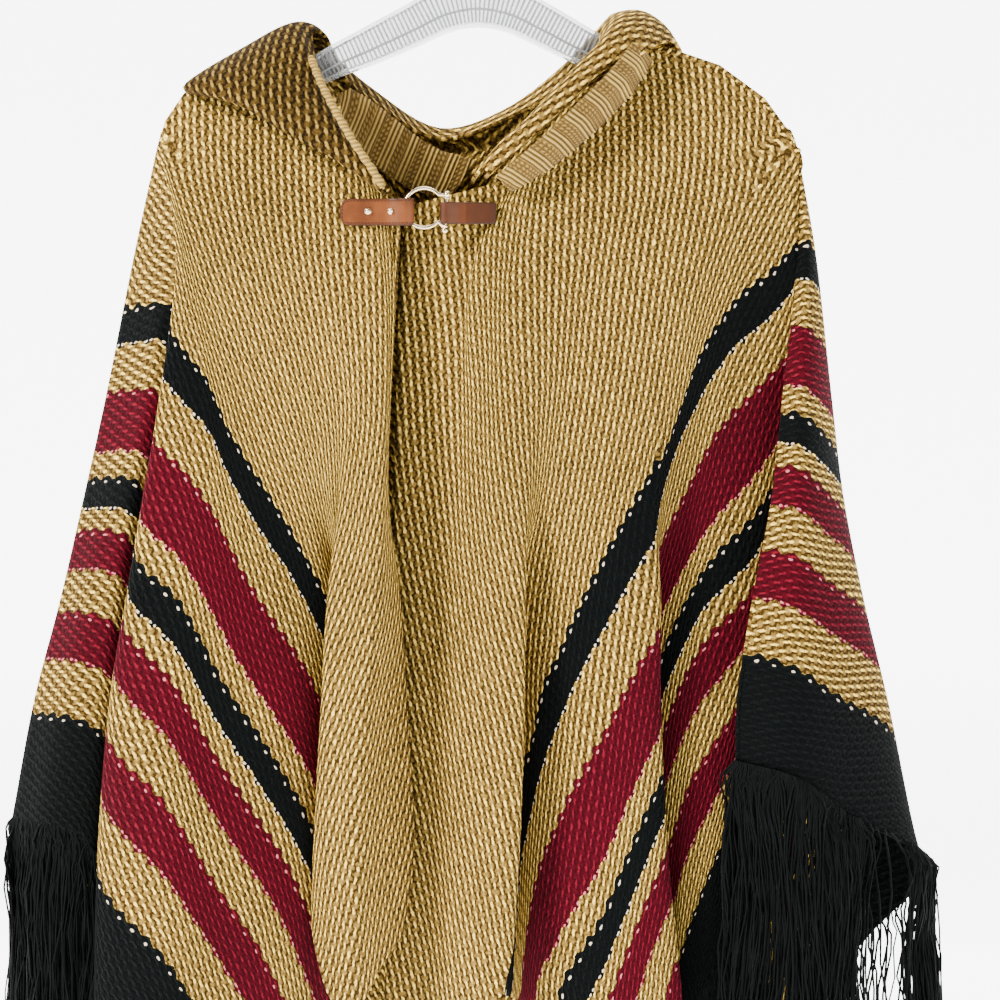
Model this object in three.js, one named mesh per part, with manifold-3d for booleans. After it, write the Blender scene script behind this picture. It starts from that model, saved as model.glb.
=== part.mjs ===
// Hooded knit poncho hung on a clear hanger. Millimetres, +Z up, the front faces -Y.
// The origin is the inside top of the hanger's hook, where it rests on a rail.
import * as THREE from 'three'
import Module from 'manifold-3d'

const wasm = await Module()
wasm.setup()
const { Manifold, Mesh } = wasm

// Sizes in millimetres
const WALL = 3
const SEAM = 0.5
const SCALE = 0.71
const VIEW_DISTANCE = 2200
const VIEW_X = 15.6
const VIEW_Z = -445
const FRINGE_LENGTH = 180
const STRIP_HEIGHT = 5

// A place in the photo, in pixels, at depth y, as a point of the part
function place(px, py, y) {
  const s = SCALE * (1 + y / VIEW_DISTANCE)
  return [VIEW_X + (px - 500) * s, y, VIEW_Z - (py - 500) * s]
}

const add = (a, b) => [a[0] + b[0], a[1] + b[1], a[2] + b[2]]
const sub = (a, b) => [a[0] - b[0], a[1] - b[1], a[2] - b[2]]
const mul = (a, s) => [a[0] * s, a[1] * s, a[2] * s]
const dot = (a, b) => a[0] * b[0] + a[1] * b[1] + a[2] * b[2]
const len = (a) => Math.hypot(a[0], a[1], a[2])
const unit = (a) => mul(a, 1 / Math.max(len(a), 1e-9))
const mix = (a, b, t) => add(mul(a, 1 - t), mul(b, t))
const cross = (a, b) => [a[1] * b[2] - a[2] * b[1], a[2] * b[0] - a[0] * b[2], a[0] * b[1] - a[1] * b[0]]

// Centripetal Catmull-Rom: steps gives the number of samples on each span
function curve(points, steps) {
  const n = points.length
  const all = [sub(mul(points[0], 2), points[1]), ...points, sub(mul(points[n - 1], 2), points[n - 2])]
  const out = []
  for (let i = 0; i < n - 1; i++) {
    const [a, b, c, d] = all.slice(i, i + 4)
    const t1 = Math.max(Math.sqrt(len(sub(b, a))), 1e-4)
    const t2 = t1 + Math.max(Math.sqrt(len(sub(c, b))), 1e-4)
    const t3 = t2 + Math.max(Math.sqrt(len(sub(d, c))), 1e-4)
    const count = Array.isArray(steps) ? steps[i] : steps
    for (let k = 0; k < count; k++) {
      const t = t1 + (t2 - t1) * k / count
      const p = mix(a, b, t / t1)
      const q = mix(b, c, (t - t1) / (t2 - t1))
      const r = mix(c, d, (t - t2) / (t3 - t2))
      const u = mix(p, q, t / t2)
      const v = mix(q, r, (t - t1) / (t3 - t1))
      out.push(mix(u, v, (t - t1) / (t2 - t1)))
    }
  }
  out.push(points[n - 1])
  return out
}

// The same curve cut into equal lengths
function even(points, count) {
  const fine = curve(points, 8)
  const at = [0]
  for (let i = 1; i < fine.length; i++) at.push(at[i - 1] + len(sub(fine[i], fine[i - 1])))
  const out = []
  let k = 0
  for (let j = 0; j <= count; j++) {
    const s = at[at.length - 1] * j / count
    while (k < at.length - 2 && at[k + 1] < s) k++
    out.push(mix(fine[k], fine[k + 1], (s - at[k]) / Math.max(at[k + 1] - at[k], 1e-9)))
  }
  return out
}

// Heights in the photo at which the hanging lines of the cloth are given
const LEVELS = [250, 400, 500, 600, 700, 850, 1000]

// Each row is one line of the cloth as it hangs. top and end are px, py, depth. x and y run down the levels.
const FRONT_LEFT = [
  { name: 'arm', top: [156, 152, 0], x: [135, 105, 83, 60, 34], y: [-2, -6, -9, -11, -12], end: [12, 818, -12] },
  { name: 'outer', top: [157, 149, 0], x: [153, 133, 112, 90, 70], y: [-16, -28, -34, -38, -41], end: [49, 824, -42] },
  { name: 'outer_edge', top: [158, 146, 0], x: [167, 150, 131, 115, 102], y: [-26, -38, -43, -46, -47], end: [88, 842, -47] },
  { name: 'under', top: [158, 143, 0], x: [178, 171, 154, 138, 126, 114], y: [-33, -36, -34, -31, -30, -30], end: [112, 901, -30] },
  { name: 'crease', top: [159, 141, 0], x: [176, 159, 143, 127, 111, 99], y: [-38, -56, -62, -64, -66, -66], end: [95, 1022, -66] },
  { name: 'facet_1', top: [159, 139, 0], x: [181, 182, 184, 180, 171, 166, 166], y: [-41, -62, -70, -76, -82, -88, -88], end: [160, 1120, -86] },
  { name: 'corner', top: [160, 137, 0], x: [185, 208, 215, 216, 214, 220, 232], y: [-42, -61, -69, -74, -77, -78, -76], end: [236, 1249, -74] },
  { name: 'facet_2', top: [160, 135, 0], x: [191, 225, 248, 268, 286, 305, 313], y: [-43, -58, -63, -63, -60, -54, -50], end: [316, 1128, -48] },
  { name: 'facet_3', top: [161, 133, 0], x: [201, 246, 274, 302, 321, 336, 340], y: [-44, -55, -58, -52, -42, -28, -24], end: [341, 1075, -22] },
  { name: 'pleat_1', top: [162, 131, 0], x: [219, 272, 303, 330, 346, 352, 350], y: [-45, -55, -57, -42, -14, 0, 2], end: [349, 1035, 2] },
  { name: 'pleat_2', top: [165, 127, 0], x: [243, 299, 322, 340, 354, 356, 350], y: [-46, -56, -56, -30, 10, 16, 16], end: [349, 1010, 16] },
  { name: 'pleat_3', top: [188, 104, 0], x: [270, 322, 332, 339, 342, 338, 334], y: [-47, -58, -60, -44, -20, -12, -12], end: [330, 960, -12] },
  { name: 'ridge_edge', top: [222, 87, 0], x: [300, 342, 339, 327, 321, 313], y: [-49, -62, -66, -66, -62, -58], end: [311, 926, -58] },
  { name: 'ridge', top: [258, 70, 0], x: [335, 362, 357, 350, 343, 334], y: [-53, -68, -73, -78, -79, -78], end: [332, 1002, -76] },
  { name: 'crest', top: [300, 60, -4], x: [372, 382, 379, 376, 364, 356], y: [-57, -70, -77, -84, -86, -86], end: [353, 1012, -84] },
  { name: 'turn', top: [358, 140, -32], x: [391, 389, 386, 391, 387, 386], y: [-55, -64, -68, -66, -62, -60], end: [383, 964, -58] },
  { name: 'opening', top: [398, 207, -48], x: [399, 391, 389, 401, 407, 414], y: [-49, -54, -56, -46, -38, -36], end: [404, 933, -36] },
]

const FRONT_RIGHT = [
  { name: 'arm', top: [799, 160, 0], x: [798, 782, 771, 752, 737], y: [-14, -40, -54, -62, -66], end: [735, 763, -66] },
  { name: 'under', top: [799, 157, -1], x: [794, 796, 786, 773, 759], y: [-17, -20, -26, -30, -32], end: [759, 803, -33] },
  { name: 'recess_1', top: [798, 154, -1], x: [788, 787, 781, 776, 769, 761], y: [-18, -16, -19, -21, -21, -20], end: [758, 877, -20] },
  { name: 'recess_2', top: [798, 151, 0], x: [779, 757, 757, 752, 738, 718, 700], y: [-19, -21, -26, -29, -32, -34, -36], end: [700, 1004, -36] },
  { name: 'recess_3', top: [797, 148, 0], x: [768, 733, 722, 706, 697, 686, 680], y: [-20, -27, -32, -33, -34, -34, -34], end: [678, 1126, -34] },
  { name: 'corner', top: [797, 146, 0], x: [759, 722, 706, 690, 680, 672, 670], y: [-22, -31, -34, -33, -31, -27, -26], end: [668, 1207, -26] },
  { name: 'recess_4', top: [796, 144, 0], x: [749, 706, 688, 667, 656, 652, 655], y: [-24, -34, -35, -28, -20, -15, -14], end: [655, 1137, -14] },
  { name: 'fold_1', top: [796, 142, 0], x: [741, 696, 674, 652, 644, 645, 654], y: [-27, -38, -39, -26, -14, -9, -9], end: [655, 1105, -9] },
  { name: 'fold_2', top: [795, 141, 0], x: [733, 688, 666, 653, 648, 652, 664], y: [-28, -42, -46, -38, -30, -27, -29], end: [666, 1105, -30] },
  { name: 'fold_edge', top: [795, 139, 0], x: [724, 679, 658, 661, 661, 668, 682], y: [-31, -46, -54, -56, -54, -52, -54], end: [684, 1115, -54] },
  { name: 'facet_1', top: [794, 137, 0], x: [711, 665, 642, 626, 616, 609, 605], y: [-34, -50, -58, -62, -62, -61, -59], end: [603, 1062, -58] },
  { name: 'facet_2', top: [793, 134, 0], x: [690, 640, 612, 589, 573, 562, 558], y: [-38, -54, -59, -59, -55, -52, -51], end: [556, 1025, -50] },
  { name: 'facet_3', top: [791, 130, 0], x: [655, 605, 578, 553, 538, 531, 529], y: [-42, -57, -58, -51, -42, -36, -35], end: [527, 1004, -34] },
  { name: 'pleat_1', top: [786, 127, 0], x: [620, 572, 547, 520, 507, 502], y: [-45, -58, -57, -38, -18, -12], end: [498, 990, -12] },
  { name: 'pleat_2', top: [765, 98, 0], x: [592, 552, 535, 514, 504, 501], y: [-47, -60, -60, -50, -42, -38], end: [499, 962, -38] },
  { name: 'ridge_edge', top: [720, 65, 0], x: [562, 534, 528, 526, 525, 520], y: [-49, -62, -66, -70, -72, -72], end: [514, 944, -70] },
  { name: 'ridge', top: [664, 46, 0], x: [526, 508, 503, 501, 501, 497], y: [-52, -63, -68, -73, -75, -75], end: [496, 1002, -73] },
  { name: 'crest', top: [560, 128, -36], x: [480, 478, 473, 468, 462, 458], y: [-55, -58, -58, -58, -56, -54], end: [458, 1016, -52] },
  { name: 'valley', top: [488, 185, -48], x: [464, 456, 447, 437, 430, 428], y: [-42, -41, -39, -36, -32, -30], end: [428, 1017, -28] },
  { name: 'opening', top: [410, 205, -34], x: [402, 396, 392, 388, 386, 385], y: [-30, -28, -23, -16, -12, -10], end: [385, 1002, -8] },
]

const BACK = [
  { name: 'arm_left', top: [156, 152, 0], x: [135, 105, 83, 60, 34], y: [-2, -6, -9, -11, -12], end: [12, 818, -12] },
  { name: 'left_1', top: [157, 148, 0], x: [148, 121, 100, 79, 58, 36], y: [15, 20, 24, 27, 29, 30], end: [35, 872, 30] },
  { name: 'left_2', top: [158, 144, 0], x: [162, 143, 125, 108, 95, 86, 84], y: [31, 46, 54, 60, 64, 66, 66], end: [84, 1040, 66] },
  { name: 'corner_left', top: [160, 138, 0], x: [178, 170, 160, 150, 142, 137, 136], y: [37, 56, 68, 77, 83, 87, 88], end: [134, 1247, 88] },
  { name: 'left_3', top: [162, 131, 0], x: [200, 206, 206, 206, 205, 205, 206], y: [42, 60, 67, 71, 71, 67, 63], end: [207, 1095, 62] },
  { name: 'left_4', top: [188, 104, 0], x: [232, 246, 252, 258, 262, 265, 268], y: [45, 64, 76, 85, 91, 93, 92], end: [270, 1040, 92] },
  { name: 'left_5', top: [258, 70, 0], x: [274, 295, 303, 311, 317, 322, 326], y: [47, 64, 71, 75, 75, 71, 67], end: [327, 1020, 66] },
  { name: 'neck_left', top: [300, 60, 4], x: [337, 352, 360, 368, 374, 380, 384], y: [50, 68, 80, 90, 96, 98, 98], end: [385, 1012, 98] },
  { name: 'centre', top: [440, 143, 45], x: [435, 432, 430, 430, 430, 430, 430], y: [54, 68, 74, 77, 77, 73, 69], end: [430, 1006, 68] },
  { name: 'neck_right', top: [590, 86, 10], x: [530, 506, 498, 492, 487, 483, 480], y: [52, 68, 80, 90, 96, 98, 98], end: [479, 1012, 98] },
  { name: 'right_5', top: [664, 46, 0], x: [610, 585, 574, 565, 558, 551, 546], y: [48, 64, 71, 75, 75, 71, 67], end: [545, 1020, 66] },
  { name: 'right_4', top: [720, 65, 0], x: [684, 656, 644, 635, 628, 623, 620], y: [45, 62, 74, 83, 89, 91, 90], end: [619, 1045, 90] },
  { name: 'right_3', top: [765, 98, 0], x: [742, 718, 708, 702, 697, 694, 692], y: [40, 55, 63, 67, 67, 63, 59], end: [691, 1095, 58] },
  { name: 'corner_right', top: [795, 140, 0], x: [778, 768, 766, 768, 774, 785, 790], y: [31, 45, 56, 64, 70, 73, 73], end: [790, 1205, 73] },
  { name: 'right_2', top: [797, 146, 0], x: [800, 808, 814, 822, 832, 846], y: [12, 20, 25, 29, 32, 35], end: [848, 965, 35] },
  { name: 'right_side', top: [798, 151, 1], x: [815, 832, 844, 864, 888, 920], y: [-3, -10, -13, -13, -12, -11], end: [928, 866, -11] },
  { name: 'outer_2', top: [798, 154, 1], x: [812, 819, 824, 829, 838], y: [-15, -40, -52, -59, -62], end: [843, 814, -62] },
  { name: 'outer_1', top: [799, 157, 1], x: [806, 801, 797, 792, 790], y: [-19, -50, -66, -74, -77], end: [794, 779, -77] },
  { name: 'arm_right', top: [799, 160, 0], x: [798, 782, 771, 752, 737], y: [-14, -40, -54, -62, -66], end: [735, 763, -66] },
]

function hangingLine(row) {
  const points = [place(...row.top)]
  row.x.forEach((px, i) => points.push(place(px, LEVELS[i], row.y[i])))
  points.push(place(...row.end))
  return points
}

// A grid of points: across the lines first, then down each of them
function drape(rows, across, down) {
  const lines = rows.map((row) => even(hangingLine(row), down))
  const grid = []
  for (let j = 0; j <= down; j++) grid.push(curve(lines.map((line) => line[j]), across))
  grid[0] = grid[0].map((_, i) => {
    const k = Math.min(Math.floor(i / across), lines.length - 2)
    return mix(lines[k][0], lines[k + 1][0], i / across - k)
  })
  return grid[0].map((_, i) => grid.map((level) => level[i]))
}

function gridNormals(grid, side) {
  const n = grid.length
  const m = grid[0].length
  return grid.map((line, i) => line.map((_, j) => {
    const a = sub(grid[Math.min(i + 1, n - 1)][j], grid[Math.max(i - 1, 0)][j])
    const b = sub(grid[i][Math.min(j + 1, m - 1)], grid[i][Math.max(j - 1, 0)])
    return mul(unit(cross(a, b)), side)
  }))
}

// A closed wall: the outer face is the grid, the inner face lies one wall thickness behind it
function wall(name, grid, normals, thickness) {
  const n = grid.length
  const m = grid[0].length
  const points = []
  const faces = []
  for (const layer of [0, 1]) {
    for (let i = 0; i < n; i++) {
      for (let j = 0; j < m; j++) {
        const t = typeof thickness === 'function' ? thickness(i, j) : thickness
        points.push(sub(grid[i][j], mul(normals[i][j], layer * t)))
      }
    }
  }
  const id = (layer, i, j) => layer * n * m + i * m + j
  const quad = (a, b, c, d) => faces.push(a, b, c, a, c, d)
  for (let i = 0; i < n - 1; i++) {
    for (let j = 0; j < m - 1; j++) {
      quad(id(0, i, j), id(0, i, j + 1), id(0, i + 1, j + 1), id(0, i + 1, j))
      quad(id(1, i, j), id(1, i + 1, j), id(1, i + 1, j + 1), id(1, i, j + 1))
    }
  }
  for (let i = 0; i < n - 1; i++) {
    quad(id(0, i, 0), id(0, i + 1, 0), id(1, i + 1, 0), id(1, i, 0))
    quad(id(0, i, m - 1), id(1, i, m - 1), id(1, i + 1, m - 1), id(0, i + 1, m - 1))
  }
  for (let j = 0; j < m - 1; j++) {
    quad(id(0, 0, j), id(1, 0, j), id(1, 0, j + 1), id(0, 0, j + 1))
    quad(id(0, n - 1, j), id(0, n - 1, j + 1), id(1, n - 1, j + 1), id(1, n - 1, j))
  }
  return solid(name, points, faces)
}

function solid(name, points, faces) {
  let volume = 0
  for (let k = 0; k < faces.length; k += 3) {
    volume += dot(points[faces[k]], cross(points[faces[k + 1]], points[faces[k + 2]]))
  }
  if (volume < 0) {
    for (let k = 0; k < faces.length; k += 3) [faces[k + 1], faces[k + 2]] = [faces[k + 2], faces[k + 1]]
  }
  const geometry = new THREE.BufferGeometry()
  geometry.setAttribute('position', new THREE.Float32BufferAttribute(points.flat(), 3))
  geometry.setIndex(faces)
  const mesh = new THREE.Mesh(geometry)
  mesh.name = name
  return mesh
}

const group = new THREE.Group()
const FRONT_ACROSS = 2
const DOWN = 16

const front_left = drape(FRONT_LEFT, FRONT_ACROSS, DOWN)
const front_right = drape(FRONT_RIGHT, FRONT_ACROSS, DOWN)
const back = drape(BACK, 2, DOWN)

const nfl = gridNormals(front_left, -1)
const nfr = gridNormals(front_right, 1)
const nb = gridNormals(back, 1)

// The walls that meet down an arm line share one mitre there
function mitreArm(listA, listB, iB) {
  listA[0].forEach((n, j) => {
    const shared = unit(add(n, listB[iB][j]))
    listA[0][j] = shared
    listB[iB][j] = shared
  })
}

// Along the shoulder the mitre is upright, because front and back fall away from it alike
function mitreTop(grid, normals) {
  grid.forEach((line, i) => {
    if (Math.abs(line[0][1]) > 6) return
    const n = normals[i][0]
    normals[i][0] = unit([n[0], 0, Math.abs(n[2]) + 0.3])
  })
}

// Moves a seam's edge back into its own panel by half of the gap
function openSeam(grid, normals, arms) {
  const n = grid.length
  const across = (i, j, along) => unit(cross(along, normals[i][j]))
  const old = grid.map((line) => line.map((p) => p))
  for (const i of arms) {
    const next = i === 0 ? 1 : n - 2
    const mid = DOWN / 2
    const side = Math.sign(dot(across(i, mid, sub(old[i][mid + 1], old[i][mid])), sub(old[next][mid], old[i][mid])))
    for (let j = 0; j < old[i].length; j++) {
      const along = sub(old[i][Math.min(j + 1, DOWN)], old[i][Math.max(j - 1, 0)])
      grid[i][j] = add(old[i][j], mul(across(i, j, along), SEAM * side))
    }
  }
  for (let i = 0; i < n; i++) {
    if (Math.abs(old[i][0][1]) > 6 || arms.includes(i)) continue
    const along = sub(old[Math.min(i + 1, n - 1)][0], old[Math.max(i - 1, 0)][0])
    const a = across(i, 0, along)
    grid[i][0] = add(old[i][0], mul(a, SEAM * Math.sign(dot(a, sub(old[i][1], old[i][0])))))
  }
}

mitreTop(front_left, nfl)
mitreTop(front_right, nfr)
mitreTop(back, nb)
mitreArm(nfl, nb, 0)
mitreArm(nfr, nb, back.length - 1)
openSeam(front_left, nfl, [0])
openSeam(front_right, nfr, [0])
openSeam(back, nb, [0, back.length - 1])

// The knit is drawn thinner where its lines all meet at the end of the shoulder
const drawn = (i, j) => (j === 0 ? 1 : j === 1 ? 2 : WALL)
group.add(wall('front_left', front_left, nfl, drawn))
group.add(wall('front_right', front_right, nfr, drawn))
group.add(wall('back', back, nb, drawn))

// The hood. Each row is a station round the neck: from its inner end over the roll to its outer end.
const HOOD = [
  { name: 'closure_left', path: [[393, 195, -51], [389, 188, -57], [385, 188, -61], [381, 191, -61], [384, 196, -56]] },
  { name: 'lapel_1', path: [[364, 168, -44], [356, 151, -56], [349, 151, -62], [341, 162, -60], [350, 170, -53]] },
  { name: 'lapel_2', path: [[341, 136, -34], [331, 114, -52], [312, 116, -59], [287, 133, -52], [312, 141, -45]] },
  { name: 'lapel_3', path: [[326, 104, -24], [315, 84, -41], [274, 86, -46], [236, 103, -36], [258, 112, -29]] },
  { name: 'lapel_4', path: [[316, 60, -14], [303, 44, -24], [245, 62, -26], [189, 84, -15], [204, 86, -14]] },
  { name: 'peak', path: [[314, 30, 0], [296, 22, 1], [245, 46, 2], [188, 80, 5], [200, 82, 6]] },
  { name: 'peak_back', path: [[326, 34, 9], [314, 26, 16], [262, 50, 26], [196, 98, 36], [204, 132, 42]] },
  { name: 'back_left', path: [[346, 78, 12], [328, 50, 28], [275, 76, 46], [214, 156, 60], [222, 230, 66]] },
  { name: 'pouch_left', path: [[380, 106, 16], [373, 89, 34], [358, 130, 68], [330, 300, 106], [335, 430, 106]] },
  { name: 'pouch', path: [[440, 138, 30], [440, 128, 48], [440, 160, 78], [440, 330, 114], [440, 500, 114]] },
  { name: 'pouch_right', path: [[506, 118, 18], [503, 110, 36], [512, 150, 72], [524, 330, 108], [518, 450, 108]] },
  { name: 'back_right', path: [[570, 80, 10], [564, 64, 28], [600, 88, 56], [645, 180, 76], [645, 270, 78]] },
  { name: 'hump_back', path: [[600, 28, 11], [606, 20, 18], [640, 18, 26], [676, 50, 32], [688, 92, 38]] },
  { name: 'hump', path: [[604, 24, 1], [612, 14, 3], [640, 10, 5], [662, 22, 6], [678, 43, 6]] },
  { name: 'hump_front', path: [[600, 30, -9], [606, 24, -12], [622, 15, -15], [640, 18, -18], [652, 32, -16]] },
  { name: 'roll_1', path: [[596, 56, -18], [600, 40, -26], [612, 31, -33], [624, 37, -37], [632, 44, -34]] },
  { name: 'roll_2', path: [[572, 80, -22], [579, 62, -37], [591, 59, -46], [602, 68, -49], [596, 80, -40]] },
  { name: 'roll_3', path: [[545, 108, -28], [551, 92, -45], [563, 88, -54], [574, 96, -57], [568, 106, -49]] },
  { name: 'roll_4', path: [[518, 134, -34], [524, 120, -50], [536, 115, -58], [547, 122, -61], [541, 131, -53]] },
  { name: 'roll_5', path: [[493, 156, -40], [499, 143, -54], [510, 139, -60], [520, 146, -62], [514, 154, -54]] },
  { name: 'closure_right', path: [[470, 182, -44], [475, 173, -54], [483, 169, -59], [490, 173, -61], [486, 180, -56]] },
]

// The ribbed band: inside the neck on the left, and rolled out over the front on the right
const RIB_LEFT = [
  { path: [[332, 100, -4], [341, 93, 3], [351, 88, 9.5]] },
  { path: [[350, 136, -2], [361, 118, 6], [372, 101, 12.5]] },
  { path: [[380, 168, 8], [390, 146, 15], [400, 123, 19.5]] },
  { path: [[418, 190, 16], [425, 168, 23], [434, 147, 27.5]] },
  { path: [[450, 198, 22], [462, 180, 25], [475, 160, 26]] },
]
const RIB_RIGHT = [
  { path: [[633, 43, -38.5], [645, 50, -31], [653, 62, -8]] },
  { path: [[610, 73, -51.5], [622, 82, -43], [632, 94, -16.8]] },
  { path: [[583, 100, -59.5], [595, 109, -51], [605, 122, -26.8]] },
  { path: [[556, 126, -62.5], [568, 135, -56], [577, 148, -35.3]] },
  { path: [[528, 150, -64.5], [539, 160, -60], [547, 171, -43.8]] },
  { path: [[497, 177, -63.5], [505, 185, -60], [511, 193, -48.8]] },
]

function band(rows, acrossSteps, downSteps) {
  const lines = rows.map((row) => curve(row.path.map((p) => place(...p)), downSteps))
  const grid = []
  for (let j = 0; j < lines[0].length; j++) grid.push(curve(lines.map((line) => line[j]), acrossSteps))
  return grid[0].map((_, i) => grid.map((level) => level[i]))
}

const hood = band(HOOD, 2, 2)
group.add(wall('hood', hood, gridNormals(hood, 1), 2.6))
const rib_left = band(RIB_LEFT, 3, 2)
group.add(wall('rib_left', rib_left, gridNormals(rib_left, 1), 2.6))
const rib_right = band(RIB_RIGHT, 3, 2)
group.add(wall('rib_right', rib_right, gridNormals(rib_right, 1), 2.6))

// A round bar along a path. radius is one size, or one for each point.
function bar(path, radius, sides) {
  const points = []
  const faces = []
  let side = null
  path.forEach((p, i) => {
    const along = unit(sub(path[Math.min(i + 1, path.length - 1)], path[Math.max(i - 1, 0)]))
    side = unit(side ? sub(side, mul(along, dot(side, along))) : cross(along, Math.abs(along[1]) > 0.9 ? [1, 0, 0] : [0, 1, 0]))
    const up = cross(along, side)
    const r = Array.isArray(radius) ? radius[i] : radius
    for (let k = 0; k < sides; k++) {
      const a = 2 * Math.PI * (k + 0.5) / sides
      points.push(add(p, add(mul(side, r * Math.cos(a)), mul(up, r * Math.sin(a)))))
    }
  })
  for (let i = 0; i < path.length - 1; i++) {
    for (let k = 0; k < sides; k++) {
      const a = i * sides + k
      const b = i * sides + (k + 1) % sides
      faces.push(a, b, b + sides, a, b + sides, a + sides)
    }
  }
  for (let k = 1; k < sides - 1; k++) {
    faces.push(0, k + 1, k)
    const e = (path.length - 1) * sides
    faces.push(e, e + k, e + k + 1)
  }
  return solid('', points, faces)
}

function toManifold(mesh) {
  const g = mesh.geometry
  const m = new Mesh({
    numProp: 3,
    vertProperties: new Float32Array(g.attributes.position.array),
    triVerts: new Uint32Array(g.index.array),
  })
  m.merge()
  return new Manifold(m)
}

function fromManifold(name, body) {
  const m = body.getMesh()
  const geometry = new THREE.BufferGeometry()
  const n = m.numProp
  const flat = new Float32Array(m.vertProperties.length / n * 3)
  for (let i = 0; i < flat.length / 3; i++) for (let k = 0; k < 3; k++) flat[3 * i + k] = m.vertProperties[n * i + k]
  geometry.setAttribute('position', new THREE.BufferAttribute(flat, 3))
  geometry.setIndex([...m.triVerts])
  const mesh = new THREE.Mesh(geometry)
  mesh.name = name
  return mesh
}

// The narrow cord of knit down the left side of the neck
const bindingPath = [[311, 58, -33.5], [321, 83, -46.5], [335, 110, -56.8], [347, 131, -61.4], [359, 150, -64.4], [374, 172, -65.9], [383, 187, -66]]
group.add(Object.assign(bar(curve(bindingPath.map((p) => place(...p)), 2), 2.6, 8), { name: 'binding_left' }))

// A fringe: a narrow strip just below the cuff edge, and the locks that hang from it
function random(seed) {
  let state = seed
  return () => {
    state = (state * 16807) % 2147483647
    return state / 2147483647
  }
}

// Along a panel's cuff edge: the place, the way down and the outward way at each stop, and whether a lock
// follows that stop
function edgeStops(grid, normals, from, to, locks) {
  const step = from < to ? 1 : -1
  const rows = []
  for (let i = from; i !== to + step; i += step) {
    const before = grid[i === from ? i : i - step][DOWN]
    const after = grid[i === to ? i : i + step][DOWN]
    const tangent = unit(sub(after, before))
    const down = sub(grid[i][DOWN], grid[i][DOWN - 1])
    rows.push([grid[i][DOWN], unit(sub(down, mul(tangent, dot(down, tangent)))), normals[i][DOWN]])
  }
  const sizes = rows.slice(1).map((row, i) => len(sub(row[0], rows[i][0])))
  const total = sizes.reduce((a, b) => a + b)
  const stops = []
  sizes.forEach((size, i) => {
    const count = Math.max(1, Math.round(locks * size / total))
    const read = (t) => rows[i].map((value, k) => mix(value, rows[i + 1][k], t))
    stops.push([...read(i === 0 ? 4 / size : 0), false])
    for (let k = 0; k < count; k++) {
      stops.push([...read((k + (i + k === 0 ? 0.35 : 0.1)) / count), true], [...read((k + 0.9) / count), false])
    }
  })
  stops.push([...rows[rows.length - 1], false])
  return stops
}

const LOCKS = 38
const DROP = 0.8
const walls = []

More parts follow.
